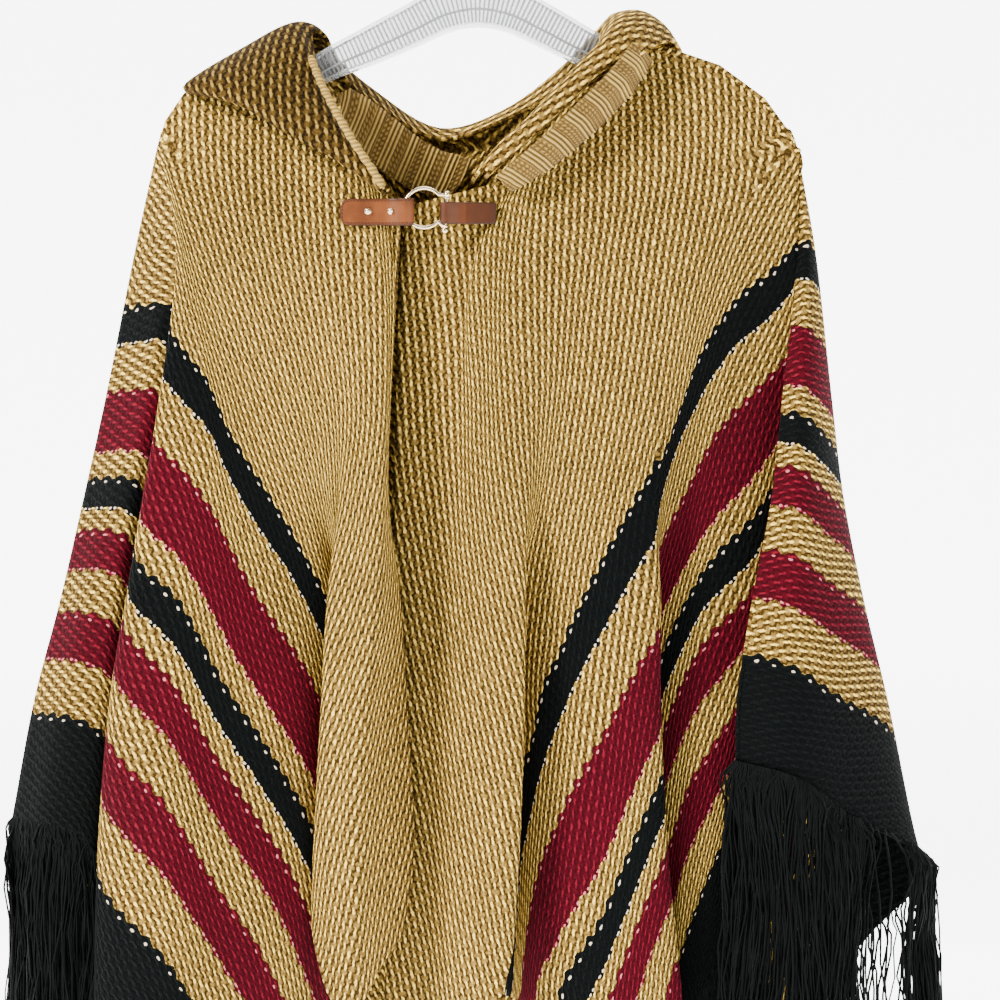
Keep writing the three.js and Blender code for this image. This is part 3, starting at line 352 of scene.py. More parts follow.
class Recipe:
    """A material's nodes, made one sum at a time."""

    def __init__(self, name):
        self.material = bpy.data.materials.new(name)
        self.material.use_nodes = True
        self.tree = self.material.node_tree
        self.shader = self.tree.nodes["Principled BSDF"]

    def node(self, kind, **sockets):
        made = self.tree.nodes.new(kind)
        for key, value in sockets.items():
            self.feed(made.inputs[key.replace("_", " ")], value)
        return made

    def feed(self, socket, value):
        if isinstance(value, bpy.types.NodeSocket):
            self.tree.links.new(value, socket)
        else:
            socket.default_value = value

    def sum(self, operation, a, b=0.0, c=0.0):
        made = self.tree.nodes.new("ShaderNodeMath")
        made.operation = operation
        for socket, value in zip(made.inputs, (a, b, c)):
            self.feed(socket, value)
        return made.outputs[0]

    def swing(self, value, size):
        """A value that lies round a half, as one that lies round zero and has the size."""
        return self.sum("MULTIPLY", self.sum("SUBTRACT", value, 0.5), size)

    def wave(self, value, power=1.0):
        """The square of the cosine, once each whole number, raised to the power."""
        turned = self.sum("COSINE", self.sum("MULTIPLY", value, math.pi))
        return self.sum("POWER", self.sum("MULTIPLY", turned, turned), power)

    def ramp(self, value, stops, steps=True):
        made = self.tree.nodes.new("ShaderNodeValToRGB")
        made.color_ramp.interpolation = "CONSTANT" if steps else "LINEAR"
        for _ in range(len(stops) - 2):
            made.color_ramp.elements.new(0.5)
        for element, (where, colour) in zip(made.color_ramp.elements, stops):
            element.position = where
            element.color = (*colour, 1)
        self.feed(made.inputs[0], value)
        return made.outputs[0]

    def blend(self, share, a, b, kind="MIX"):
        made = self.tree.nodes.new("ShaderNodeMix")
        made.data_type = "RGBA"
        made.blend_type = kind
        self.feed(made.inputs[0], share)
        for socket, value in ((made.inputs[6], a), (made.inputs[7], b)):
            self.feed(socket, (*value, 1) if isinstance(value, tuple) else value)
        return made.outputs[2]

    def tint(self, a, b):
        return self.blend(1.0, a, b, "MULTIPLY")

    def cloth_way(self):
        """The two distances in the cloth, u and v."""
        where = self.node("ShaderNodeUVMap")
        where.uv_map = "cloth"
        return self.node("ShaderNodeSeparateXYZ", Vector=where.outputs[0]).outputs[:2]

    def place_x(self):
        where = self.node("ShaderNodeTexCoord").outputs["Object"]
        return self.node("ShaderNodeSeparateXYZ", Vector=where).outputs[0]

    def noise(self, scale, detail):
        where = self.node("ShaderNodeTexCoord").outputs["Object"]
        return self.node("ShaderNodeTexNoise", Scale=scale, Detail=detail, Vector=where).outputs[0]

    def relief(self, height, distance, strength=1.0, under=None):
        made = self.node("ShaderNodeBump", Height=height, Distance=distance, Strength=strength)
        if under is not None:
            self.feed(made.inputs["Normal"], under)
        return made.outputs[0]

    def surface(self, **sockets):
        """The finished material, its shader's sockets given by name."""
        for key, value in sockets.items():
            self.feed(self.shader.inputs[key.replace("_", " ")], value)
        return self.material


CAMEL, BURGUNDY, BLACK = (0.285, 0.178, 0.041), (0.060, 0.0016, 0.0066), (0.0014, 0.0021, 0.0022)
CREAM, PINK = (0.62, 0.51, 0.40), (0.46, 0.13, 0.14)
# Where each colour starts, in millimetres from the cuff edge. A ramp over u is REACH long.
REACH = 0.4
STRIPES = [(0, BLACK), (77, CAMEL), (117, BURGUNDY), (152, CAMEL), (184, BURGUNDY), (213, CAMEL),
           (229, BLACK), (252, CAMEL), (271, BURGUNDY), (317, CAMEL), (351, BLACK), (379, CAMEL)]
# From each stitch the next ones lie at these two steps, in metres of u and v. Twice the first and once the
# second make the repeat along the stripes.
STEP_A, STEP_B, REPEAT = (0.0033, 0.0062), (-0.0066, 0.0012), 0.0136


def stitches(r, u, v, scale, shift, half, lean):
    """Raised ovals, one at each step of the knit, of the half width and length: 1 on top, 0 between them."""
    (au, av), (bu, bv) = [[part * scale for part in step] for step in (STEP_A, STEP_B)]
    cell = au * bv - av * bu
    near = []
    for from_u, from_v in ((bv, -bu), (-av, au)):
        at = r.sum("MULTIPLY_ADD", u, from_u / cell, r.sum("MULTIPLY", v, from_v / cell))
        near.append(r.sum("SUBTRACT", r.sum("FRACT", r.sum("ADD", at, shift + 0.5)), 0.5))
    lean_u, lean_v = math.sin(lean), math.cos(lean)
    out = 0.0
    for way_u, way_v, size, power in ((lean_v, -lean_u, half[0], 2.0), (lean_u, lean_v, half[1], 2.3)):
        second = r.sum("MULTIPLY", near[1], bu * way_u + bv * way_v)
        far = r.sum("MULTIPLY_ADD", near[0], au * way_u + av * way_v, second)
        far = r.sum("ABSOLUTE", r.sum("DIVIDE", far, size * scale))
        out = r.sum("ADD", r.sum("POWER", far, power), out)
    return r.sum("POWER", r.sum("MAXIMUM", r.sum("SUBTRACT", 1.0, out), 0.0), 0.55)


def edge_marks(r, u, v, edges, places, half):
    """Small ovals of the carried thread along the stripes' edges. edges says from where a row of ovals is the
    nearest one, and where it lies, in millimetres from the cuff edge."""
    centre = r.ramp(r.sum("DIVIDE", u, REACH), [(from_mm / 400, (mm / 400,) * 3) for from_mm, mm in edges])
    far_u = r.sum("DIVIDE", r.sum("SUBTRACT", u, r.sum("MULTIPLY", centre, REACH)), half[0])
    marks = 0.0
    for place_v in places:
        turn = r.sum("FRACT", r.sum("ADD", r.sum("DIVIDE", v, REPEAT), 0.5 - place_v))
        far_v = r.sum("DIVIDE", r.sum("MULTIPLY", r.sum("SUBTRACT", turn, 0.5), REPEAT), half[1])
        out = r.sum("ADD", r.sum("MULTIPLY", far_u, far_u), r.sum("MULTIPLY", far_v, far_v))
        marks = r.sum("MAXIMUM", r.sum("SUBTRACT", 1.0, out), marks)
    return r.sum("MINIMUM", r.sum("MULTIPLY", marks, 3.0), 1.0)


def knit(name, striped, lean, scale=1.0):
    """Chunky knit in soft yarn: upright loops with a lower round one beside each, brightened by painted
    highlight, and gaps between them darkened by painted shade.
    """
    r = Recipe(name)
    u, v = r.cloth_way()
    waver = r.swing(r.noise(80.0, 2.0), 0.0034)
    jitter = r.swing(r.noise(330.0, 1.0), 0.0018)
    uu, vv = r.sum("ADD", r.sum("ADD", u, waver), jitter), r.sum("SUBTRACT", r.sum("ADD", v, jitter), waver)
    grain = stitches(r, uu, vv, scale, 0.0, (0.00145, 0.0039), lean)
    oval = stitches(r, uu, vv, scale, 0.5, (0.0033, 0.0025), lean)
    height = r.sum("MAXIMUM", grain, r.sum("MULTIPLY", oval, 0.44))
    fibre = r.noise(720.0, 2.0)
    # shade lays painted shade in the gaps and painted highlight on the loops' tops over the yarn's colour.
    shade = r.ramp(
        r.sum("ADD", height, r.swing(fibre, 0.95)),
        [(0.0, (0.10, 0.08, 0.05)), (0.26, (0.46, 0.42, 0.36)), (0.52, (0.92, 0.92, 0.90)),
         (0.72, (1.85, 1.95, 1.75)), (0.98, (3.90, 4.15, 3.20))],
        steps=False,
    )
    if striped:
        tooth = r.sum("MULTIPLY", r.sum("COSINE", r.sum("MULTIPLY", vv, 2 * math.pi / REPEAT)), 0.0016)
        edge = r.sum("DIVIDE", r.sum("SUBTRACT", uu, tooth), REACH)
        colour = r.ramp(edge, [(mm / 400, c) for mm, c in STRIPES])
        # Black and burgundy stripes get less of the painted shade and highlight.
        evener = {CAMEL: 0.0, BURGUNDY: 0.45, BLACK: 0.72}
        calm = r.ramp(edge, [(mm / 400, (evener[c],) * 3) for mm, c in STRIPES])
        shade = r.blend(calm, shade, (0.95, 0.95, 0.95))
        upper = [(0, 74.4), (100, 149.4), (183, 210.4), (233, 249.4), (285, 314.4), (350, 376.4)]
        lower = [(0, 118.3), (150, 185.3), (206, 230.3), (250, 272.3), (310, 352.3)]
        dot = edge_marks(r, uu, vv, upper, (0.0,), (0.00105, 0.0018))
        dash = edge_marks(r, uu, vv, lower, (0.33, 0.67), (0.00095, 0.0016))
        cream = r.sum("MAXIMUM", dot, dash)
        thread = r.ramp(
            r.sum("DIVIDE", uu, REACH),
            [(0.0, CREAM), (95 / 400, PINK), (221 / 400, CREAM), (261 / 400, PINK), (334 / 400, CREAM)],
        )
        height = r.sum("MAXIMUM", height, r.sum("MULTIPLY", cream, 0.95))
        tone = r.blend(cream, r.tint(colour, shade), thread)
    else:
        # Painted shade: the hood is darkened to about a quarter of its colour left of x = -0.1 m, over its left
        # fold, and keeps nearly its own colour from x = 0 on.
        right = r.sum("MULTIPLY_ADD", r.place_x(), 5.0, 0.6)
        wear_and_painted_shade = r.ramp(right, [(0.10, (0.27, 0.25, 0.23)), (0.60, (0.92, 0.90, 0.88))], steps=False)
        tone = r.tint(r.tint(CAMEL, shade), wear_and_painted_shade)
    patch = r.ramp(r.noise(9.0, 2.0), [(0.3, (0.90, 0.90, 0.90)), (0.7, (1.08, 1.08, 1.08))], steps=False)
    low = r.relief(r.sum("ADD", height, r.sum("MULTIPLY", fibre, 0.25)), 0.0022)
    return r.surface(
        Base_Color=r.tint(tone, patch), Roughness=0.9, Specular_IOR_Level=0.04, Sheen_Weight=0.01,
        Sheen_Roughness=0.5, Normal=r.relief(fibre, 0.0003, 0.5, low),
    )


def evened(cloth, pinned=0.0):
    """The cloth with its two distances eased until the stitches keep their size. u below pinned stays."""

    def ease(where, ways, rounds):
        steps = [(1, 0), (0, 1), (1, 1), (1, -1)]
        for _ in range(rounds):
            move, count = np.zeros_like(ways), np.full(ways.shape[:2] + (1,), 1e-9)
            for di, dj in steps:
                n, m = ways.shape[:2]
                a = (slice(0, n - di), slice(max(0, -dj), m - max(0, dj)))
                b = (slice(di, n), slice(max(0, dj), m + min(0, dj)))
                gap = ways[b] - ways[a]
                long = np.maximum(np.linalg.norm(gap, axis=2, keepdims=True), 1e-7)
                real = np.linalg.norm(where[b] - where[a], axis=2, keepdims=True)
                pull = gap * (1 - real / long) * 0.5
                move[a] += pull
                move[b] -= pull
                count[a] += 1
                count[b] += 1
            move *= 1.2 / count
            if pinned:
                move[..., 0] *= np.clip((ways[..., 0] - pinned) / 0.012, 0, 1)
            ways = ways + move
        return ways

    def sampled(grid, rows, columns):
        i, j = np.linspace(0, len(grid) - 1, rows), np.linspace(0, grid.shape[1] - 1, columns)
        down = np.array([on_path(line, np.arange(len(line)), j) for line in grid])
        return np.stack([on_path(down[:, c], np.arange(len(grid)), i) for c in range(columns)], axis=1)

    n, m = cloth.shape[:2]
    rough = sampled(cloth, (n + 3) // 4, (m + 3) // 4)
    before = rough[..., 3:5].copy()
    change = ease(rough[..., :3], before, 500) - before
    ways = ease(cloth[..., :3], cloth[..., 3:5] + sampled(change, n, m), 120)
    return np.dstack([cloth[..., :3], ways])


striped_knit = knit("striped_knit", True, math.radians(-14))
striped_knit_right = knit("striped_knit_right", True, math.radians(-30))
DOWN, ACROSS, WALL = 128, 7, 0.0026
# Nearer the cuff edge than this, u stays as it is, so that the stripes lie where they are measured.
STRIPED = 0.385

front_left_cloth = evened(draped(FRONT_LEFT, TIP_LEFT, 1, ACROSS, DOWN), STRIPED)
front_left = cloth_piece("front_left_knit", front_left_cloth, (0, -1, 0), WALL, striped_knit)
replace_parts(front_left, "front_left")

front_right_cloth = evened(draped(FRONT_RIGHT, TIP_RIGHT, 1, ACROSS, DOWN), STRIPED)
front_right = cloth_piece("front_right_knit", front_right_cloth, (0, -1, 0), WALL, striped_knit_right)
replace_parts(front_right, "front_right")


def back_tip(row):
    return TIP_RIGHT if row[5][0] == "far" else TIP_LEFT


back_cloth = evened(draped(BACK, back_tip, -1, ACROSS, DOWN), STRIPED)
back = cloth_piece("back_knit", back_cloth, (0, 1, 0), WALL, striped_knit)
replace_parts(back, "back")

# The hood: one piece of the same knit, folded down the back and rolled out over both shoulders. It is sewn
# round the neck and left open at the front. Each row is a station round the neck, as places in the view with
# their depths, from the inner end over the roll to the outer end.
HOOD = [
    [(393, 195, -51), (389, 188, -57), (385, 188, -61), (381, 191, -61), (384, 196, -56)],
    [(364, 168, -44), (356, 151, -56), (349, 151, -62), (341, 162, -60), (350, 170, -53)],
    [(341, 136, -34), (331, 114, -52), (312, 116, -59), (287, 133, -52), (312, 141, -45)],
    [(326, 104, -24), (315, 84, -41), (274, 86, -46), (236, 103, -36), (258, 112, -29)],
    [(316, 60, -14), (303, 44, -24), (245, 62, -26), (186, 88, -15), (196, 95, -14)],
    [(314, 30, 0), (296, 22, 1), (245, 46, 2), (184, 88, 4), (190, 98, 5)],
    [(326, 34, 9), (314, 26, 16), (262, 50, 26), (196, 98, 36), (204, 132, 42)],
    [(346, 78, 12), (328, 50, 28), (275, 76, 46), (214, 156, 60), (222, 230, 66)],
    [(380, 106, 16), (373, 89, 34), (358, 130, 68), (330, 300, 106), (335, 430, 106)],
    [(440, 138, 30), (440, 128, 48), (440, 160, 78), (440, 330, 114), (440, 500, 114)],
    [(506, 118, 18), (503, 110, 36), (512, 150, 72), (524, 330, 108), (518, 450, 108)],
    [(570, 80, 10), (564, 64, 28), (600, 88, 56), (645, 180, 76), (645, 270, 78)],
    [(600, 28, 11), (606, 20, 18), (640, 18, 26), (676, 50, 32), (688, 92, 38)],
    [(604, 24, 1), (612, 14, 3), (640, 10, 5), (662, 22, 6), (678, 43, 6)],
    [(600, 30, -9), (606, 24, -12), (622, 15, -15), (646, 22, -17), (664, 42, -13)],
    [(596, 56, -18), (600, 40, -26), (612, 31, -33), (630, 40, -37), (645, 53, -32)],
    [(572, 80, -22), (579, 62, -37), (591, 59, -46), (602, 68, -49), (596, 80, -40)],
    [(545, 108, -28), (551, 92, -45), (563, 88, -54), (574, 96, -57), (568, 106, -49)],
    [(518, 134, -34), (524, 120, -50), (536, 115, -58), (547, 122, -61), (541, 131, -53)],
    [(493, 156, -40), (499, 143, -54), (510, 139, -60), (520, 146, -62), (514, 154, -54)],
    [(470, 182, -44), (475, 173, -54), (483, 169, -59), (490, 173, -61), (486, 180, -56)],
]


PLAIN_FROM = 0.6


def rolled(rows, across, down):
    """The cloth through rows of places."""
    lines = np.array([smooth_line([place(*p) for p in row], down) for row in rows])
    return smooth_line(lines, across)


def measured(cloth, middle):
    """The cloth with its two distances: u along each line, v across the lines from the middle one."""
    u = np.cumsum(np.linalg.norm(np.diff(cloth[..., :3], axis=1, prepend=cloth[:, :1, :3]), axis=2), axis=1)
    v = np.cumsum(np.linalg.norm(np.diff(cloth[..., :3], axis=0, prepend=cloth[:1, :, :3]), axis=2), axis=0)
    return np.dstack([cloth[..., :3], PLAIN_FROM + u, v - v[middle]])


hood_cloth = rolled(HOOD, 6, 7)
hood_parts = []
for start, middle, end in ((0, 18, 36), (36, 54, 76), (76, 102, len(hood_cloth) - 1)):
    part = measured(hood_cloth, middle)
    part[start:end + 1] = evened(part[start:end + 1])
    hood_parts.append((start, part))


def hood_way(i):
    """The left fold, the back and the right roll each carry the knit from their own middle line."""
    return [part for start, part in hood_parts if i >= start][-1]


hood_knit = knit("hood_knit", False, math.radians(-14), 1.15)
hood = cloth_piece("hood_knit", measured(hood_cloth, 54), (0, 0, 1), WALL, hood_knit, way_of=hood_way)
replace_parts(hood, "hood")

# The ribbed band that edges the hood's face: knit in groups of raised ribs with flatter stitches between
# them. On the left it stands inside the neck, and on the right it is rolled out over the front.
RIB_LEFT = [
    [(332, 100, -4), (341, 93, 3), (351, 88, 9.5)],
    [(350, 136, -2), (361, 118, 6), (372, 101, 12.5)],
    [(380, 168, 8), (390, 146, 15), (400, 123, 19.5)],
    [(418, 190, 16), (425, 168, 23), (434, 147, 27.5)],
    [(450, 198, 22), (462, 180, 25), (475, 160, 26)],
]
RIB_RIGHT = [
    [(633, 43, -38.5), (645, 50, -31), (653, 62, -8)],
    [(610, 73, -51.5), (622, 82, -43), (632, 94, -16.8)],
    [(583, 100, -59.5), (595, 109, -51), (605, 122, -26.8)],
    [(556, 126, -62.5), (568, 135, -56), (577, 148, -35.3)],
    [(528, 150, -64.5), (539, 160, -60), (547, 171, -43.8)],
    [(497, 177, -63.5), (505, 185, -60), (511, 193, -48.8)],
]
RIB_PITCH, RIB_WALL = 0.0034, 0.0022
GROUP_LEFT, GROUP_RIGHT = 0.0155, 0.0205


def rib_knit(name, group):
    """Ribs across the band in groups, with small loops on the flat between the groups."""
    r = Recipe(name)
    u, v = r.cloth_way()
    vv = r.sum("ADD", v, r.swing(r.noise(80.0, 2.0), 0.0012))
    ridge = r.wave(r.sum("DIVIDE", vv, RIB_PITCH), 0.8)
    loops = r.wave(r.sum("ADD", r.sum("DIVIDE", u, 0.0042), r.sum("MULTIPLY", ridge, 0.3)), 0.7)
    raised = r.sum("MULTIPLY", ridge, r.sum("ADD", 0.84, r.sum("MULTIPLY", loops, 0.16)))
    row = r.wave(r.sum("DIVIDE", vv, RIB_PITCH * 0.9), 0.6)
    flat = r.sum("MULTIPLY", r.sum("MULTIPLY", loops, row), 0.55)
    share = r.ramp(r.wave(r.sum("DIVIDE", v, group)), [(0.30, (0, 0, 0)), (0.46, (1, 1, 1))], steps=False)
    flat = r.sum("MULTIPLY", flat, r.sum("SUBTRACT", 1.0, share))
    height = r.sum("ADD", r.sum("MULTIPLY", raised, share), flat)
    fibre = r.noise(1400.0, 3.0)
    # shade lays painted shade between the ribs and painted highlight on their tops over the yarn's colour.
    shade = r.ramp(
        r.sum("ADD", height, r.swing(fibre, 0.25)),
        [(0.0, (0.24, 0.20, 0.16)), (0.25, (0.58, 0.55, 0.50)), (0.55, (1, 1, 1)),
         (0.95, (1.75, 1.85, 1.85))],
        steps=False,
    )
    return r.surface(
        Base_Color=r.tint(CAMEL, shade), Roughness=0.88, Specular_IOR_Level=0.12, Sheen_Weight=0.03,
        Sheen_Roughness=0.6, Normal=r.relief(fibre, 0.0003, 0.5, r.relief(height, 0.0010)),
    )


def raised_ribs(cloth, group, lift):
    """The band with its ribs standing up from it."""
    a, b = np.gradient(cloth[..., :3], axis=0), np.gradient(cloth[..., :3], axis=1)
    out = np.cross(a, b)
    out /= np.linalg.norm(out, axis=2, keepdims=True)
    v = cloth[..., 4]
    share = np.clip((np.cos(math.pi * v / group) ** 2 - 0.30) / 0.16, 0, 1)
    ridge = np.cos(math.pi * v / RIB_PITCH) ** 2
    cloth[..., :3] += out * (lift * (share * ridge + (1 - share) * 0.2 - 0.4))[..., None]
    return cloth


rib_left_cloth = raised_ribs(measured(rolled(RIB_LEFT, 52, 5), 104), GROUP_LEFT, 0.0011)
rib_inside = rib_knit("rib_inside", GROUP_LEFT)
rib_left = cloth_piece("rib_left_knit", rib_left_cloth, (0, -1, 0), RIB_WALL, rib_inside)
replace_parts(rib_left, "rib_left")
rib_right_cloth = raised_ribs(measured(rolled(RIB_RIGHT, 50, 5), 125), GROUP_RIGHT, 0.0013)
rib_outside = rib_knit("rib_outside", GROUP_RIGHT)
rib_right = cloth_piece("rib_right_knit", rib_right_cloth, (0, -1, 0), RIB_WALL, rib_outside)
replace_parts(rib_right, "rib_right")

# The rolled edge down the left side of the neck: the face edge curls into a cord 5 millimetres thick.
BINDING = [(311, 58, -33.5), (321, 83, -46.5), (335, 110, -56.8), (347, 131, -61.4), (359, 150, -64.4),
           (374, 172, -65.9), (383, 187, -66)]


def bar(name, rings, material, at):
    """A closed bar through rings of points, its ends filled. at gives how far along each ring lies."""
    count, sides = len(rings), len(rings[0])
    mesh = bmesh.new()
    bmesh.ops.create_grid(mesh, x_segments=count - 1, y_segments=sides, size=1)
    uv = mesh.loops.layers.uv.new("cloth")
    spot = {}
    for vert in mesh.verts:
        spot[vert] = (round((vert.co.x + 1) / 2 * (count - 1)), round((vert.co.y + 1) / 2 * sides))
    for face in mesh.faces:
        for loop in face.loops:
            i, k = spot[loop.vert]
            loop[uv].uv = (at[i], k / sides)
    for vert, (i, k) in spot.items():
        vert.co = rings[i][k % sides]
    bmesh.ops.remove_doubles(mesh, verts=mesh.verts, dist=1e-7)
    bmesh.ops.holes_fill(mesh, edges=[edge for edge in mesh.edges if edge.is_boundary])
    bmesh.ops.recalc_face_normals(mesh, faces=mesh.faces)
    return finished(name, mesh, material)


def round_rings(path, radius, sides):
    """Rings of points round a path. The radius is one size, or one for each point and side."""
    along = np.gradient(path, axis=0)
    along /= np.linalg.norm(along, axis=1, keepdims=True)
    side = np.array([0.0, 1.0, 0.0]) if abs(along[0][1]) < 0.9 else np.array([1.0, 0.0, 0.0])
    radius = np.broadcast_to(radius, (len(path), sides))
    rings = []
    for i, (point, way) in enumerate(zip(path, along)):
        side = side - way * side.dot(way)
        side /= np.linalg.norm(side)
        up = np.cross(way, side)
        turn = 2 * np.pi * np.arange(sides) / sides
        rings.append(point + radius[i][:, None] * (np.outer(np.cos(turn), side) + np.outer(np.sin(turn), up)))
    return np.array(rings)


BINDING_SIDES, BINDING_R, TWIST = 14, 0.0027, 0.0095
binding_path = smooth_line([place(*p) for p in BINDING], 26)
binding_at = length_along(binding_path)
sides = np.arange(BINDING_SIDES) / BINDING_SIDES
twist = np.cos(2 * np.pi * (binding_at[:, None] / TWIST + 2 * sides))
binding_rings = round_rings(binding_path, BINDING_R * (1 + 0.14 * twist), BINDING_SIDES)
r = Recipe("rolled_edge")
u, v = r.cloth_way()
strand = r.wave(r.sum("ADD", r.sum("DIVIDE", u, 0.0032), r.sum("MULTIPLY", v, 2.0)), 0.8)
fibre = r.noise(1400.0, 3.0)
# shade lays painted shade in the cord's twist and painted highlight on its strands.
shade = r.ramp(
    r.sum("ADD", strand, r.swing(fibre, 0.3)),
    [(0.0, (0.52, 0.48, 0.45)), (0.4, (0.95, 0.95, 0.95)), (0.95, (1.40, 1.46, 1.50))],
    steps=False,
)
rolled_edge = r.surface(
    Base_Color=r.tint(CAMEL, shade), Roughness=0.88, Specular_IOR_Level=0.12,
    Normal=r.relief(r.sum("ADD", strand, r.sum("MULTIPLY", fibre, 0.3)), 0.0007),
)
binding = bar("binding_left_cord", binding_rings, rolled_edge, binding_at)
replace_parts(binding, "binding_left")

# The fringe: black yarn looped in bunches through both cuff edges, so that each bunch hangs about 180
# millimetres from the edge as a lock of loose, kinked strands.
BUNCHES, STRANDS, FRINGE_LENGTH, YARN_R = 32, 26, 0.180, 0.0009
MOST_LEAN, LEAN_STEP, CLEARANCE = 0.06, 0.004, 0.004
ROUND = 6.28
cloth_walls = []
for cloth in (front_left_cloth, front_right_cloth, back_cloth):
    rows, columns = cloth.shape[:2]
    corners = [Vector(p) for p in cloth[..., :3].reshape(-1, 3)]
    squares = [
        (i * columns + j, (i + 1) * columns + j, (i + 1) * columns + j + 1, i * columns + j + 1)
        for i in range(rows - 1)
        for j in range(columns - 1)
    ]
    cloth_walls.append(BVHTree.FromPolygons(corners, squares))

r = Recipe("black_yarn")
fibre = r.noise(900.0, 3.0)
tone = r.ramp(
    r.sum("ADD", r.sum("MULTIPLY", r.noise(45.0, 3.0), 0.6), r.sum("MULTIPLY", fibre, 0.4)),
    [(0.30, (0.0006, 0.0009, 0.0009)), (0.72, (0.0022, 0.0032, 0.0031))],
    steps=False,
)
black_yarn = r.surface(
    Base_Color=tone, Roughness=0.7, Specular_IOR_Level=0.06, Normal=r.relief(fibre, 0.0004, 0.7)
)


def lock_line(root, down, out, lean, length):
    """The middle line of a bunch: out of the cuff edge, over whatever stands in its way, and down."""
    points = [root - down * 0.002, root + down * 0.004]
    for share, drop in ((0.35, 0.006), (1, length * 0.3), (1.35, length * 0.65), (1.6, length)):
        points.append(root + down * 0.010 + out * lean * share + Vector((0, 0, -drop)))
    return smooth_line([tuple(p) for p in points], 3)


def is_clear(line):
    """Whether the line, past its first part, goes through no panel and stays clear of them."""
    for p, q in zip(line[6:], line[7:]):
        step = Vector(q - p)
        for wall in cloth_walls:
            if wall.find_nearest(Vector(q), CLEARANCE)[0] is not None:
                return False
            if wall.ray_cast(Vector(p), step.normalized(), step.length)[0] is not None:
                return False
    return True


def fringe(name, cloth, first, last, outward, seed, full=((0, 1), (1, 1))):
    """One fringe along the cuff edge between two lines of a panel. full gives how thick it is from one end of
    that edge, 0, to the other, 1."""
    chance = random.Random(seed)
    edge = cloth[first:last + 1, -1, :3]
    above = cloth[first:last + 1, -3, :3]
    at = length_along(edge)
    data = bpy.data.curves.new(name, "CURVE")
    data.dimensions = "3D"
    data.bevel_depth = YARN_R
    data.bevel_resolution = 0
    data.use_fill_caps = True
    lean_before = 0.0
    for bunch in range(BUNCHES):
        mid = (bunch + 0.5) / BUNCHES * at[-1]
        root = Vector(on_path(edge, at, mid))
        down = (root - Vector(on_path(above, at, mid))).normalized()
        ahead = Vector(on_path(edge, at, mid + 0.004) - on_path(edge, at, mid - 0.004))
        out = ahead.cross(down)
        out = Vector((out.x, out.y, 0)).normalized()
        if out.y * outward < 0:
            out = -out
        length = FRINGE_LENGTH * (0.93 + 0.08 * chance.random())
        lean = 0.0
        while lean < MOST_LEAN and not is_clear(lock_line(root, down, out, lean, length)):
            lean += LEAN_STEP
        lean_before = lean = 0.5 * lean + 0.5 * max(lean, lean_before)
        sway = np.array([chance.uniform(-0.004, 0.004), chance.uniform(-0.004, 0.004)])
        slow, slow_size = chance.uniform(0, ROUND), chance.uniform(0.001, 0.0055)
        thick = np.interp((bunch + 0.5) / BUNCHES, *zip(*full))
        for strand in range(round(STRANDS * thick)):
            strand /= thick
            spread = (strand + chance.random() - STRANDS / 2) / STRANDS * at[-1] / BUNCHES
            where = min(max(mid + spread * 0.85, 0.0008), at[-1] - 0.0008)
            start = Vector(on_path(edge, at, where))
            own = chance.uniform(-1, 1)
            root_in = start - out * (0.0014 + 0.0008 * own)
            line = lock_line(root_in, down, out, lean + own * 0.0030, length * chance.uniform(0.90, 1.03))
            spread_way = np.array(ahead.normalized()[:2]) * spread * chance.uniform(0.4, 1.6)
            steps = np.linspace(0, 1, 12)
            points = on_path(line, np.linspace(0, 1, len(line)), steps)
            phase, turns = chance.uniform(0, ROUND), chance.uniform(3.0, 9.0)
            size = chance.uniform(0.0006, 0.0030)
            phase_y, turns_y = chance.uniform(0, ROUND), chance.uniform(2.5, 5.5)
            for k, t in enumerate(steps):
                grow = min(t * 2.2, 1.0) * t ** 0.3
                wide = size * math.sin(phase + ROUND * turns * t) + slow_size * math.sin(slow + 9 * t)
                points[k, 0] += grow * wide
                points[k, 1] += grow * size * 0.8 * math.sin(phase_y + ROUND * turns_y * t)
                points[k, :2] += t * t * sway + min(t * 3, 1.0) * spread_way
            spline = data.splines.new("POLY")
            spline.points.add(len(points) - 1)
            for point, co in zip(spline.points, points):
                point.co = (*co, 1)
            for k, point in enumerate(spline.points):
                point.radius = 1.0 - 0.25 * k / len(points)
    piece = bpy.data.objects.new(name, data)
    bpy.context.collection.objects.link(piece)
    data.materials.append(black_yarn)
    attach(piece, "root")
    return piece


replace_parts(fringe("fringe_front_left_yarn", front_left_cloth, 0, 6 * ACROSS, -1, 11), "fringe_front_left")
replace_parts(fringe("fringe_back_left_yarn", back_cloth, 0, 3 * ACROSS, 1, 23), "fringe_back_left")
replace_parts(fringe("fringe_front_right_yarn", front_right_cloth, 0, 5 * ACROSS, -1, 37), "fringe_front_right")
BACK_RIGHT = ((0.38, 0.9), (0.44, 0.12), (0.58, 0.12), (0.61, 1.5), (0.68, 1.5), (0.70, 0.05), (0.78, 0.10),
              (0.80, 0.7), (0.85, 1.3), (1, 1.3))
back_right = fringe("fringe_back_right_yarn", back_cloth, 13 * ACROSS, 18 * ACROSS, 1, 53, BACK_RIGHT)
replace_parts(back_right, "fringe_back_right")

# The straps: two tabs of brown leather, each one strip folded round a side of the ring and sewn to itself and
# to the cloth. The left one has a round end and two studs, the right one a square end.
LEATHER = (0.112, 0.030, 0.0062)
SEAM_IN, SEAM_HALF, DASH = 0.0017, 0.00035, 0.0024


